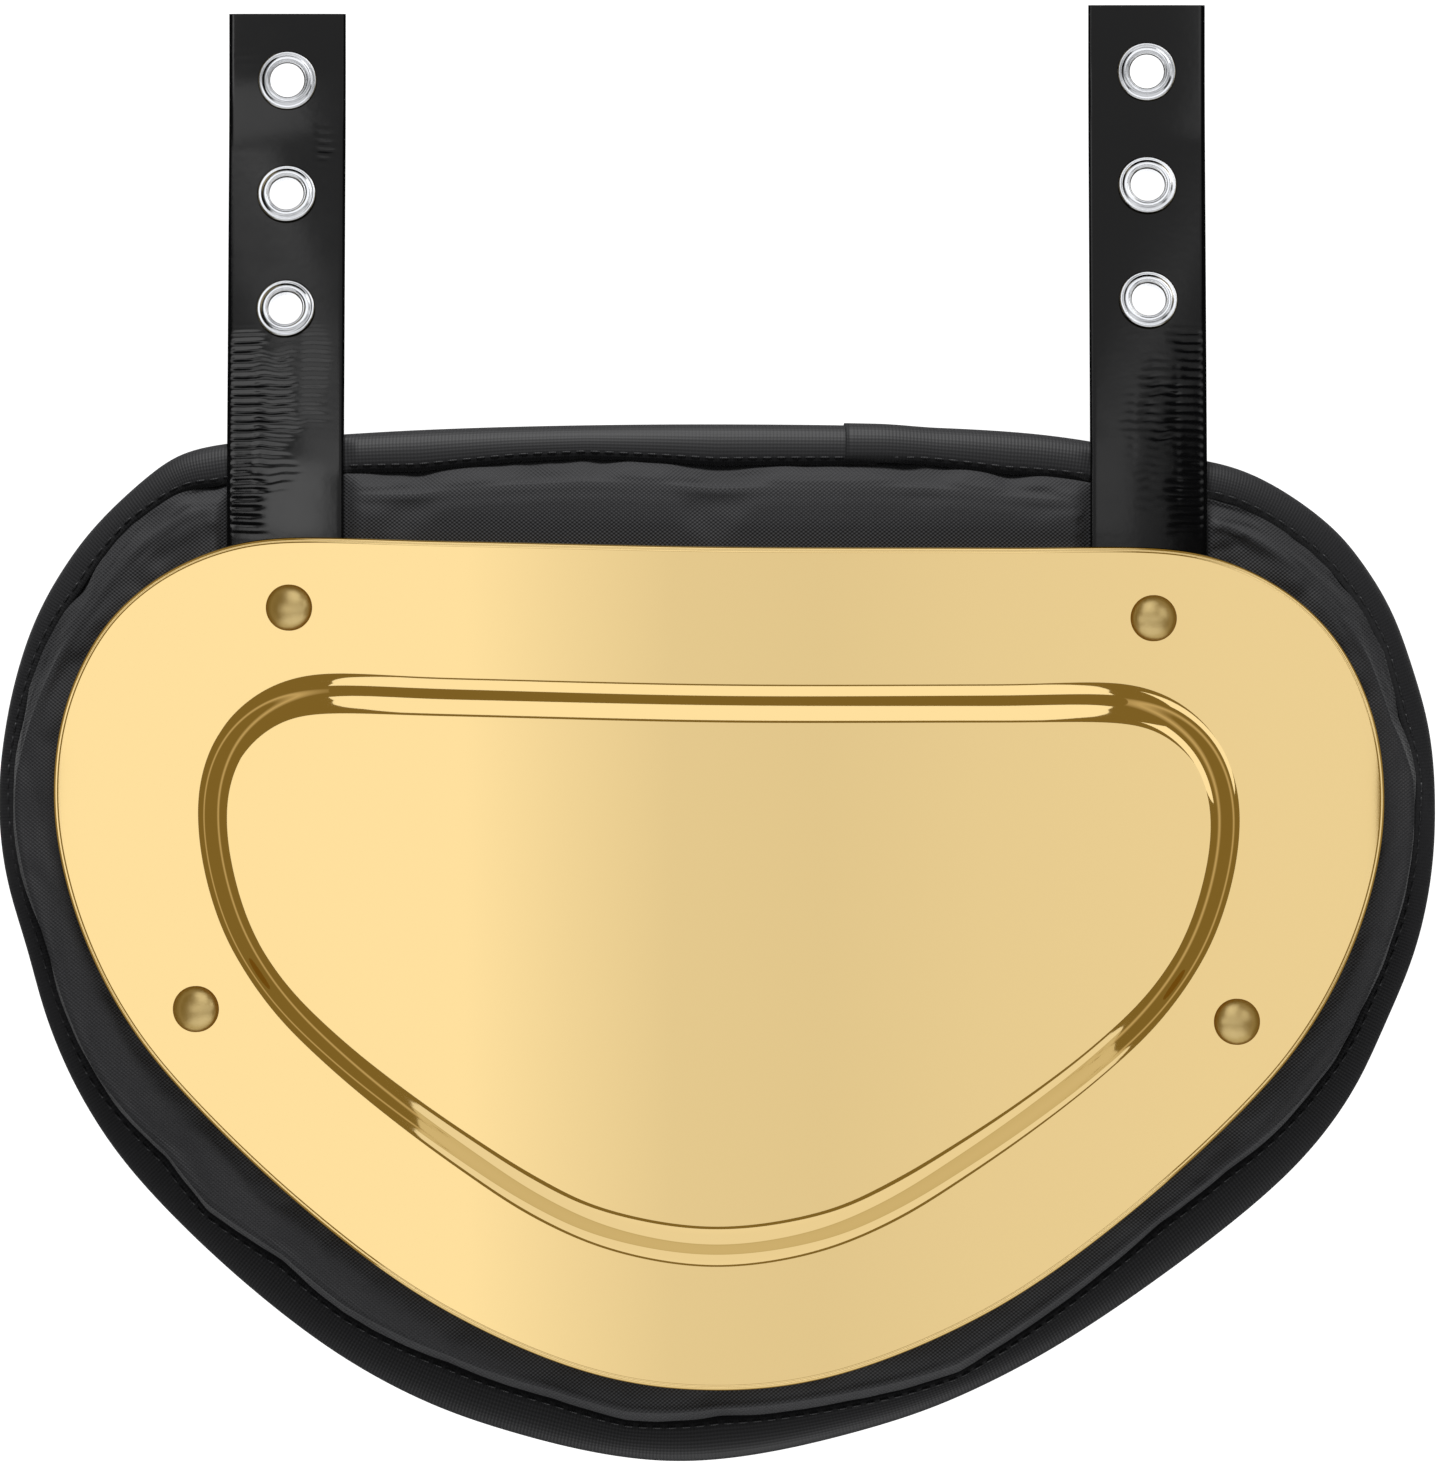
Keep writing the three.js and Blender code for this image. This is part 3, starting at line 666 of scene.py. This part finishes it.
def make_pad(material):
    """Cover over the foam: back, rim inside the tape, wall up from the seam, and front."""
    loop, shown, low = rim_loop()
    drop = TAPE_DROP * low
    depth = TAPE_WALL + SEAT_GAP
    seam = shown + SEAM_GAP
    shoulder = SHOULDER_TOP + (SHOULDER_LOW - SHOULDER_TOP) * low
    ridge = inset(loop, seam + shoulder)
    under = outline(SHELL_ROWS, SHELL_WIDTH / 2, SHELL_TOP, SHELL_BOTTOM, SHELL_FACE, PAD_POINTS)
    tucked = inset(under, COVER_TUCK)
    rings = [bend(np.zeros((1, 2)), 0)]
    rings += [bend(ridge * share, 0, 0) for share in (0.12, 0.3, 0.5, 0.7, 0.85, 0.95)]
    rings.append(bend(inset(loop, TAPE_WIDTH + 0.002), 0, 0))
    rings.append(bend(inset(loop, TAPE_WIDTH + 0.0003), 0.0002, 0.0002))
    rings.append(bend(inset(loop, TAPE_WIDTH - 0.0005), depth, depth))
    rings += rim_nose(loop, shown - 0.0012, drop, depth)[:-2]
    seam_height = RIM_HEIGHT + TAPE_RISE - drop - depth * 1.1
    held_below = len(rings)
    for share in np.linspace(0, 1, WALL_RINGS):
        wall = 1 - (1 - share) ** 0.88
        full = SEAM_FULLNESS * np.clip((share - 0.085) / 0.1, 0, 1) * (1 - share)
        height = seam_height + (PAD_THICKNESS - seam_height) * wall + full + RIDGE_FOLD * share**6
        rings.append(bend(inset(loop, seam - 0.0006 + (shoulder + 0.0006) * share), height))
    held_above = len(rings) + FREE_FRONT_RINGS
    for share in np.linspace(0, 1, FRONT_RINGS + 1)[1:]:
        crown = PAD_CROWN * math.sin(math.pi * min(share * 1.12, 1)) ** 0.9
        rings.append(bend(ridge + (tucked - ridge) * share, PAD_THICKNESS + crown))
    rings += [bend(tucked * share, PAD_THICKNESS) for share in (0.8, 0.5, 0.2)]
    rings.append(bend(np.zeros((1, 2)), PAD_THICKNESS))
    points, faces = skin(rings)
    cover = make_piece("pad_cover", points, faces, material, "pad_cloth", ["pad"])
    starts = np.cumsum([0] + [len(ring) for ring in rings])
    free = range(int(starts[held_below + 1]), int(starts[held_above]))
    return cover, free


def wrinkled(points, free):
    """Points of the cover with the slack cloth's creases, which run along the rim, most at its sides."""
    loop, _, _ = rim_loop()
    turn = 2 * math.pi * np.arange(PAD_POINTS) / PAD_POINTS
    depth = WRINKLE_DEPTH * (0.08 + 0.92 * smooth_step(np.abs(loop[:, 0]), 0.06, 0.11))
    rows = (free.stop - free.start) // PAD_POINTS
    for row in range(1, rows):
        first = free.start + row * PAD_POINTS
        inward = np.full(PAD_POINTS, row * WRINKLE_ROW)
        places = (WRINKLE_ROUND * np.cos(turn), WRINKLE_ROUND * np.sin(turn), inward)
        crease = np.clip(1 - np.abs(unevenness(places, 0.0026, 4)) / 0.25, 0, 1)
        points[first:first + PAD_POINTS, 2] -= depth * crease * math.sin(math.pi * row / rows)
    return points


def press_cover(cover, free):
    """Settles the cover, with its wrinkles, under the straps and the shell once it is filled."""
    points = wrinkled(points_of(cover), free)
    move_points(cover, pressed(points))


def swell(cover, free):
    """Fills the cover: the cloth between the tape and the shell swells and wrinkles, the rest is held."""
    start = points_of(cover)
    held = cover.vertex_groups.new(name="held")
    held.add([index for index in range(len(start)) if index not in free], 1.0, "REPLACE")
    cloth = cover.modifiers.new("filling", "CLOTH")
    cloth.collision_settings.use_collision = False
    for name, value in FILLING.items():
        setattr(cloth.settings, name, value)
    cloth.settings.vertex_group_mass = "held"
    cloth.settings.effector_weights.gravity = 0
    for step in range(1, FILLING_STEPS + 1):
        bpy.context.scene.frame_set(step)
    end = points_of(cover.evaluated_get(bpy.context.evaluated_depsgraph_get()))
    cover.modifiers.remove(cloth)
    cover.vertex_groups.remove(held)
    bpy.context.scene.frame_set(1)
    move_points(cover, start + broad_waves(end - start, free))


def broad_waves(move, free):
    """What the filling moves, without waves too short for padded cloth, less at the ridge and low tape."""
    loop, _, low = rim_loop()
    rings = move[free.start:free.stop].reshape(-1, PAD_POINTS, 3)
    smooth = soften(rings, spacing_of(loop), SHORTEST_FOLD)
    smooth *= (1 - 0.6 * low)[None, :, None]
    from_ridge = np.arange(len(rings)) - (WALL_RINGS - 2)
    smooth *= (1 - np.exp(-((from_ridge / 2) ** 2)))[:, None, None]
    length = np.linalg.norm(smooth, axis=2)[:, :, None]
    smooth *= np.minimum(1, SWELL_LIMIT / np.maximum(length, 1e-9))
    kept = np.zeros_like(move)
    kept[free.start:free.stop] = smooth.reshape(-1, 3)
    return kept


def make_tape(material):
    """Tape folded over the rim: an open strip whose end laps over its start."""
    loop, shown, low = rim_loop()
    drop = TAPE_DROP * low
    count = PAD_POINTS
    first = int(TAPE_JOINT * count)
    spacing = spacing_of(loop)
    lap = int(TAPE_LAP / spacing)
    order = [(first + step) % count for step in range(count + lap + 1)]
    lift = TAPE_LAP_LIFT * smooth_step(np.arange(len(order)), count - 2 * lap, count)
    top = RIM_HEIGHT + TAPE_RISE - drop
    outer = [bend(inset(loop, TAPE_WIDTH * share), 0, 0) for share in (1, 0.7)]
    outer += rim_nose(loop, shown, drop, 0)
    inner = [bend(inset(loop, shown + SEAM_GAP), top - TAPE_WALL * 0.4)]
    inner += rim_nose(loop, shown, drop, TAPE_WALL)[::-1]
    inner.append(bend(inset(loop, TAPE_WIDTH - 0.0003), TAPE_WALL, TAPE_WALL))
    section = [pressed(ring) for ring in outer + inner]
    spans = lengths_along([ring[0] for ring in section])
    outward = inset(loop, -1.0) - loop
    outward = np.column_stack([outward, np.full(count, 0.8)])
    rows, uvs = [], []
    for step, index in enumerate(order):
        station = np.array([ring[index] for ring in section])
        rows.append(station + outward[index] * lift[step] * 0.7)
        uvs += [(step * spacing, span) for span in spans]
    points, faces = closed_skin(rows)
    return make_piece("edge_tape", points, faces, material, "binding_tape", ["binding"], uvs=uvs)


def make_stitches(material):
    """Machine stitches near the tape's inner edge, each a short bent bar of thread."""
    loop, shown, low = rim_loop()
    rise = RIM_HEIGHT + TAPE_RISE - TAPE_DROP * low - RIM_MIDDLE
    out = STITCH_INSET / shown
    height = RIM_MIDDLE + rise * (1 - out ** (2 / RIM_SQUARENESS)) ** (RIM_SQUARENESS / 2)
    line = pressed(bend(inset(loop, shown - STITCH_INSET), height))
    closed = np.vstack([line, line[:1]])
    lengths = lengths_along(closed)
    count = int(lengths[-1] / STITCH_PITCH)
    points, faces = [], []
    for number in range(count):
        middle = (number + 0.5) * lengths[-1] / count
        made, made_faces = stitch(closed, lengths, middle)
        faces += [[len(points) + index for index in face] for face in made_faces]
        points.extend(made)
    return make_piece("tape_stitches", points, faces, material, "binding_tape")


def stitch(line, lengths, middle):
    """Points and faces of one bar of thread along a line."""
    turns = np.linspace(0, 2 * math.pi, THREAD_SIDES, endpoint=False)
    rings = []
    for share, thickness, sink in STITCH_ROWS:
        place = middle + share * STITCH_LENGTH
        centre, ahead = (point_at(line, lengths, place + further) for further in (0, 0.0005))
        along = (ahead - centre) / np.linalg.norm(ahead - centre)
        side = np.cross(along, (0, 0, 1))
        up = np.cross(side, along)
        centre = centre + up * STITCH_THICKNESS / 2 * (0.6 - 1.6 * sink)
        radius = thickness * STITCH_THICKNESS / 2
        rings.append(centre + radius * (np.outer(np.cos(turns), side) + np.outer(np.sin(turns), up)))
    return closed_skin(rings)


def point_at(line, lengths, place):
    return np.array([np.interp(place % lengths[-1], lengths, line[:, axis]) for axis in range(3)])


def strap_fall(up, tip):
    """How far down its slope a strap is, from 0 on the pad to 1 on the ground."""
    start = SHELL_TOP + STRAP_LEVEL_RUN
    share = np.clip((up - start) / (tip - STRAP_FLAT_RUN - start), 0, 1)
    steep = 1 / (1 - STRAP_BEND_SHARE)
    over = steep * share**2 / (2 * STRAP_BEND_SHARE)
    straight = steep * (share - STRAP_BEND_SHARE / 2)
    out = 1 - steep * (1 - share) ** 2 / (2 * STRAP_BEND_SHARE)
    return np.where(share < STRAP_BEND_SHARE, over, np.where(share > 1 - STRAP_BEND_SHARE, out, straight))


def strap_place(side, across, up):
    """Points of a strap's middle surface in the row frame, and its normals there."""
    tip = STRAP_TIPS[side]
    middle = SIDES[side] * STRAP_SPACING / 2
    top = arch_height(STRAP_SPACING / 2, SHELL_SEAT) - SEAT_GAP - STRAP_THICKNESS / 2
    low = STRAP_TIP_LIFT + FLANGE_GAP + WASHER_THICKNESS + EYELET_ROLL + STRAP_THICKNESS / 2
    fall = strap_fall(up, tip)
    arch = arch_height(middle + across, SHELL_SEAT) - arch_height(middle, SHELL_SEAT)
    height = top + (low - top) * fall + (1 - fall) * arch
    step = 0.00001
    slope = (strap_fall(up + step, tip) - strap_fall(up - step, tip)) / (2 * step) * (low - top)
    roll = (1 - fall) * arch_slope(middle + across, SHELL_SEAT)
    points = np.column_stack([middle + across, up - MIDDLE_UP, height])
    normals = np.column_stack([-roll, -slope, np.ones_like(slope)])
    return points, normals / np.linalg.norm(normals, axis=1)[:, None]


def crease_height(side, across, up):
    """Relief of a strap's creases: rows of narrow valleys in the places that bend in use."""
    share = across / STRAP_WIDTH + 0.5
    share = share if side == "left" else 1 - share
    total = np.zeros_like(across)
    for number, (inner, outer, low, high, depth, uneven) in enumerate(CREASES[side]):
        level = np.full_like(up, number)
        drift = unevenness((across * 0.9, up * 0.5, level), 0.004, number + 2)
        slow = unevenness((up, up, np.full_like(up, 3)), 0.006, number + 5)
        patchy = unevenness((across * 0.6, up, level), 0.0035, number + 9)
        wander = share + 0.1 * slow
        reach = smooth_step(share, inner, inner + 0.05) * (1 - smooth_step(wander, outer - 0.16, outer))
        reach *= smooth_step(up, low, low + CREASE_FADE)
        reach *= 1 - smooth_step(up, high - CREASE_FADE, high)
        phase = up / CREASE_PITCH + 0.45 * uneven * drift
        valley = 0.5 - 0.5 * np.cos(2 * math.pi * phase)
        strength = np.clip(1 + (0.3 + 0.9 * uneven) * patchy, 0, 2)
        total -= depth * reach * strength * valley**CREASE_SHARPNESS
    return total


def make_strap(side, material):
    """Webbing laid between shell and pad, over the pad's edge and down to its straight-cut tip."""
    tip = STRAP_TIPS[side]
    shown_from = SHELL_TOP - STRAP_SHOWN_UNDER
    hidden = np.linspace(SHELL_TOP - STRAP_HIDDEN, shown_from, 12, endpoint=False)
    shown = np.arange(shown_from, tip - 0.0004, STRAP_ROW)
    edge, edge_lifts = [-0.5, -0.495, -0.48], [0.3, 0.75, 0.96]
    level = np.linspace(-0.46, 0.46, STRAP_COLUMNS)
    across = np.concatenate([edge, level, np.negative(edge[::-1])]) * STRAP_WIDTH
    lifts = np.concatenate([edge_lifts, np.ones(STRAP_COLUMNS), edge_lifts[::-1]]) * STRAP_THICKNESS / 2
    lifts -= STRAP_BOW * (2 * across / STRAP_WIDTH) ** 2
    below = np.linspace(0.5, -0.5, 9) * STRAP_WIDTH
    drops = np.where(np.abs(below) > STRAP_WIDTH * 0.49, 0.5, 1.0) * STRAP_THICKNESS / 2
    rings = []
    for up in [*hidden, *shown, tip - 0.0004, tip - 0.0001, tip]:
        ups = np.full_like(across, up)
        over, normals = strap_place(side, across, ups)
        over = over + normals * (lifts + crease_height(side, across, ups))[:, None]
        under, under_normals = strap_place(side, below, np.full_like(below, up))
        rings.append(np.vstack([over, under - under_normals * drops[:, None]]))
    start, end = (rings[place].mean(axis=0)[None] for place in (0, -1))
    points, faces = skin([start, *rings, end])
    return make_piece(f"webbing_{side}", points, faces, material, "coated_webbing", [f"strap_{side}"])


def punch(strap, places):
    """Cuts the eyelets' holes through a strap."""
    radius = EYELET_HOLE / 2 + EYELET_BARREL_WALL
    reach = 2 * STRAP_THICKNESS
    profile = [(0, -reach), (radius, -reach), (radius, reach), (0, reach)]
    for point, normal in places:
        points, faces = skin(standing(turned(profile, HOLE_SIDES), point, normal))
        cutter = make_piece("punch", points, faces, strap.data.materials[0])
        hole = strap.modifiers.new("hole", "BOOLEAN")
        hole.operation, hole.solver, hole.object = "DIFFERENCE", "EXACT", cutter
        shaped = strap.evaluated_get(bpy.context.evaluated_depsgraph_get())
        mesh = bpy.data.meshes.new_from_object(shaped)
        strap.modifiers.clear()
        strap.data = mesh
        bpy.data.objects.remove(cutter)


def eyelet_places(side):
    first = STRAP_TIPS[side] - EYELET_FROM_TIP
    ups = np.array([first - index * EYELET_PITCH for index in range(EYELET_COUNT)])
    points, normals = strap_place(side, np.zeros(EYELET_COUNT), ups)
    return list(zip(points, normals))


def make_eyelets(side, material):
    """Each eyelet: a flange with a rolled rim and a domed face round its lip, a barrel, and a washer."""
    hole = EYELET_HOLE / 2
    barrel = hole + EYELET_BARREL_WALL
    flared = hole + EYELET_FLARE
    inner = barrel + SEAT_GAP
    rim = EYELET_FLANGE / 2
    seat = STRAP_THICKNESS / 2 + FLANGE_GAP
    washer_low = -seat - WASHER_THICKNESS
    lowest = washer_low - EYELET_ROLL
    flange = [
        (flared, lowest + 0.0003), (flared + 0.0002, lowest), (barrel + 0.0003, lowest),
        (barrel, lowest + 0.0003), (barrel, seat - 0.0003), (barrel + 0.0002, seat - 0.0001),
    ]
    flange += [(rim - inward, seat + EYELET_HEIGHT * share) for inward, share in FLANGE_ROWS]
    flange += [(hole + outward, seat + EYELET_HEIGHT * share) for outward, share in LIP_ROWS]
    flange.append(flange[0])
    washer = [
        (inner, washer_low + 0.0001), (inner + 0.0001, washer_low), (rim - 0.0002, washer_low),
        (rim, washer_low + 0.0002), (rim, -seat - 0.0001), (rim - 0.0001, -seat), (inner, -seat),
    ]
    washer.append(washer[0])
    kinds = [("eyelet_ring", flange, "eyelet"), ("eyelet_washer", washer, "washer")]
    pieces = []
    for index, (point, normal) in enumerate(eyelet_places(side)):
        copy = f"{side}_{index + 1}"
        for label, profile, stands_for in kinds:
            points, faces = skin(standing(turned(profile), point, normal))
            name = f"{label}_{copy}"
            pieces.append(make_piece(name, points, faces, material, "nickel", [f"{stands_for}_{copy}"]))
    return pieces


def make_rivets(side, material):
    """Domed rivet heads on the shell's face."""
    sign = SIDES[side]
    rows = [
        ("upper", STRAP_SPACING / 2, SHELL_TOP - UPPER_RIVET_FROM_TOP),
        ("lower", LOWER_RIVET_SPACING / 2, -LOWER_RIVET_DROP),
    ]
    head, shank = RIVET_HEAD / 2, RIVET_SHANK / 2
    profile = [(0, -SHELL_WALL), (shank, -SHELL_WALL), (shank, -0.0001), (head - 0.0006, 0.00005)]
    profile += [(head * radius, SEAT_GAP + RIVET_HEIGHT * height) for radius, height in HEAD_ROWS]
    pieces = []
    for name, across, up in rows:
        flat = turned_flat(np.array([[sign * across, up]]))[0]
        point = (flat[0], flat[1] - MIDDLE_UP, arch_height(flat[0], SHELL_FACE))
        normal = (-arch_slope(flat[0], SHELL_FACE), 0, 1)
        points, faces = skin(standing(turned(profile), point, normal))
        rivet = f"rivet_{name}_{side}"
        pieces.append(make_piece(f"dome_{rivet}", points, faces, material, "satin_gold", [rivet]))
    return pieces


# Studio: a pale floor, soft light, and the bright panels that a mirror finish shows


def make_camera():
    """Camera straight above, as the photograph is taken square to the plate's face."""
    pixel = 0.000217
    wide, high = 1445, 1465
    plate_x, plate_y = 717, 968
    distance, level = 4, 0.02
    camera = bpy.data.cameras.new("camera")
    camera.sensor_width = 36
    camera.lens = camera.sensor_width * (distance - level) / (high * pixel)
    placed = add_object("camera", camera)
    along, up = (wide / 2 - plate_x) * pixel, (plate_y - high / 2) * pixel
    placed.location = (along, up - MIDDLE_UP, distance)
    bpy.context.scene.camera = placed


def lit_white_board(tree):
    """Pale board with light behind it, so that it stays white in the holes and under the straps."""
    grain = node(tree, "Bump", {"Height": lumps(tree, 0.004), "Distance": 0.00002})
    return {
        "Base Color": colour("#f2f2f1"), "Roughness": 0.9, "Normal": grain,
        "Emission Color": (1, 1, 1, 1), "Emission Strength": FLOOR_GLOW,
    }


def make_floor():
    material = material_of(lit_white_board)
    material.cycles.emission_sampling = "NONE"
    points = [(x * FLOOR_HALF, y * FLOOR_HALF, 0) for x, y in ((-1, -1), (1, -1), (1, 1), (-1, 1))]
    floor = make_piece("floor", points, [[0, 1, 2, 3]], material)
    floor.visible_glossy = False
    return floor


def glow(name, stops, axis=0):
    """Glowing material whose colour runs through stops from one side of a panel to the other.

    Seen in a reflection of a reflection it is as dim as the room.
    """
    material, tree = new_material(name)
    ramp = node(tree, "ValToRGB", {"Fac": axes(tree, "UV")[axis]})
    elements = ramp.color_ramp.elements
    for position, _ in stops[1:-1]:
        elements.new(position)
    for element, (_, level) in zip(elements, stops):
        element.color = (*level, 1) if isinstance(level, tuple) else (level, level, level, 1)
    bounces = node(tree, "LightPath").outputs["Glossy Depth"]
    again = node(tree, "Math", {0: bounces, 1: 1.5}, operation="GREATER_THAN")
    shown = node(tree, "Mix", {0: again, 6: ramp, 7: (*DIM, 1)}, data_type="RGBA")
    emission = node(tree, "Emission", {"Color": shown.outputs[2]})
    node(tree, "OutputMaterial", {"Surface": emission})
    material.cycles.emission_sampling = "NONE"
    return material


def make_panel(name, rows, stops, metal, axis=1, distance=2.0):
    """Part of a sphere round the plate, from rows of a tilt from straight up and the turns it spans.

    Its glow runs along the turns (axis 0) or along the tilts (axis 1). It shines on metal pieces only.
    """
    tilts, starts, ends = np.array(rows, dtype=float).T
    rings, uvs = [], []
    for share in np.linspace(0, 1, PANEL_ROWS):
        tilt = tilts[0] + (tilts[-1] - tilts[0]) * share
        start, end = np.interp(tilt, tilts, starts), np.interp(tilt, tilts, ends)
        around = np.radians(np.linspace(start, end, PANEL_COLUMNS))
        out, up = math.sin(math.radians(tilt)), math.cos(math.radians(tilt))
        level = np.full(PANEL_COLUMNS, up)
        rings.append(distance * np.column_stack([out * np.cos(around), out * np.sin(around), level]))
        uvs += [(turn, share) for turn in np.linspace(0, 1, PANEL_COLUMNS)]
    points, faces = skin(rings, round_rings=False)
    panel = make_piece(name, points, faces, glow(name + "_glow", stops, axis), uvs=uvs)
    only_reflected(panel, metal)


def only_reflected(panel, pieces):
    """A panel that shows in the reflections of some pieces and nowhere else."""
    for way in ("camera", "diffuse", "shadow", "transmission"):
        setattr(panel, "visible_" + way, False)
    shine_on(panel, pieces)


def shine_on(source, pieces):
    """Keeps a light or a panel to some pieces."""
    chosen = bpy.data.collections.new(source.name + "_shines_on")
    for piece in pieces:
        chosen.objects.link(piece)
    source.light_linking.receiver_collection = chosen


def make_overhead(metal):
    """Bright ceiling that the nearly flat faces show, dimmer to the right of the middle."""
    half, near, far, height = 0.78, -0.2, 0.13, 1
    points = [(-half, near, height), (half, near, height), (half, far, height), (-half, far, height)]
    stops = [
        (0, 1), (0.33, 1), (0.4, 0.88), (0.47, 0.78), (0.57, 0.76), (0.68, 0.8), (0.86, 0.83), (1, 0.84),
    ]
    uvs = [(0, 0), (1, 0), (1, 1), (0, 1)]
    panel = make_piece("overhead_panel", points, [[0, 1, 2, 3]], glow("overhead_glow", stops), uvs=uvs)
    only_reflected(panel, metal)


def make_panels(gold_pieces, metal):
    """Bright panels of the studio, as a mirror finish shows them, in a dim room that is warm to gold."""
    bright = [(0, 1), (1, 1)]
    soft_line = [(0, DIM), (0.5, (0.54, 0.46, 0.31)), (1, DIM)]
    back = [
        (15, 89, 91), (16, 67, 113), (18, 53, 127), (22, 38, 139), (28, 46, 131), (37, 54, 124),
        (52, 63, 115), (60, 65, 113),
    ]
    make_panel("back_panel", back, bright, metal)
    make_panel("corner_panel", [(37, 4, 40), (56, 4, 40)], bright, metal)
    make_panel("left_strip", [(68, 110, 229), (80, 110, 229)], soft_line, metal)
    make_panel("right_strip", [(66, -43, 64), (82, -43, 64)], soft_line, metal)
    front = [
        (17, 269, 271), (18, 256, 284), (20, 246, 292), (23, 238, 300), (27, 231, 310), (32, 221, 322),
        (36, 217, 334), (41, 219, 331), (55, 223, 327), (75, 227, 321), (96, 229, 318),
    ]
    low = (0.6, 0.56, 0.44)
    make_panel("front_panel", front, [
        (0, 0.86), (0.25, 0.83), (0.55, 0.83), (0.565, low), (0.575, (0.5, 0.46, 0.34)), (0.59, low),
        (1, (0.64, 0.6, 0.49)),
    ], metal)
    make_panel("warm_room", [(0, 0, 360), (180, 0, 360)], [(0, DIM), (1, DIM)], gold_pieces, distance=3.0)


def make_light(name, place, aim, size, power, pieces):
    """Soft rectangular light, turned to an aim, that falls on some pieces."""
    light = bpy.data.lights.new(name, "AREA")
    light.shape = "RECTANGLE"
    light.size, light.size_y = size
    light.energy = power
    placed = add_object(name, light)
    placed.location = place
    placed.rotation_euler = (Vector(place) - Vector(aim)).to_track_quat("Z", "Y").to_euler()
    shine_on(placed, pieces)


def make_lights(cloths, straps, nickel_pieces, floor):
    """Light from beyond the straps models the cloth. Straps and eyelets have lights of their own."""
    middle = (0, 0, 0)
    make_light("key", (-0.15, 2.0, 0.85), middle, (0.9, 0.6), 44, cloths)
    make_light("floor_light", (0, 0, 2.5), middle, (1.4, 1.4), 14, [floor])
    make_light("fill", (0.3, -2.0, 0.75), middle, (1.4, 0.6), 22, cloths)
    make_light("strap_sky", (0, 0.43, 0.8), (0, 0.43, 0), (0.9, 0.9), 0.9, straps)
    for name, x, y, wide, deep, power in SHEENS:
        make_light(name, (x, y, SHEEN_HEIGHT), (x, y, 0), (wide, deep), power, straps)
    make_light("eyelet_sky", (0, 0.5, 1.5), (0, 0.12, 0), (2.0, 1.5), 3.4, nickel_pieces)
    make_light("eyelet_window", (1.1, 1.3, 0.9), (0, 0.12, 0), (1.0, 0.7), 4.5, nickel_pieces)
    make_light("board_under_eyelets", (0, 0.12, -0.35), (0, 0.12, 0), (0.6, 0.5), 1.2, nickel_pieces)


def make_room():
    """Pale room for the light that falls on cloth, which polished pieces don't show."""
    world = bpy.data.worlds.new("room")
    world.use_nodes = True
    tree = world.node_tree
    tree.nodes.clear()
    pale = node(tree, "Background", {"Color": (1, 1, 1, 1), "Strength": ROOM_GLOW})
    node(tree, "OutputWorld", {"Surface": pale})
    world.cycles_visibility.glossy = False
    bpy.context.scene.world = world


make_camera()
floor = make_floor()
shell = make_shell(material_of(vacuum_gold))
cover, free = make_pad(material_of(nylon_oxford))
swell(cover, free)
press_cover(cover, free)
cloths = [cover, make_tape(material_of(grosgrain_tape)), make_stitches(material_of(bonded_thread))]
webbing, nickel, satin = map(material_of, (coated_webbing, bright_nickel, satin_gold_plating))
straps, nickel_pieces, gold_pieces = [], [], [shell]
for side in SIDES:
    strap = make_strap(side, webbing)
    punch(strap, eyelet_places(side))
    straps.append(strap)
    nickel_pieces += make_eyelets(side, nickel)
    gold_pieces += make_rivets(side, satin)

make_overhead(gold_pieces + nickel_pieces)
make_panels(gold_pieces, gold_pieces + nickel_pieces)
make_lights(cloths, straps, nickel_pieces, floor)
make_room()
bpy.context.scene.view_settings.view_transform = "Standard"
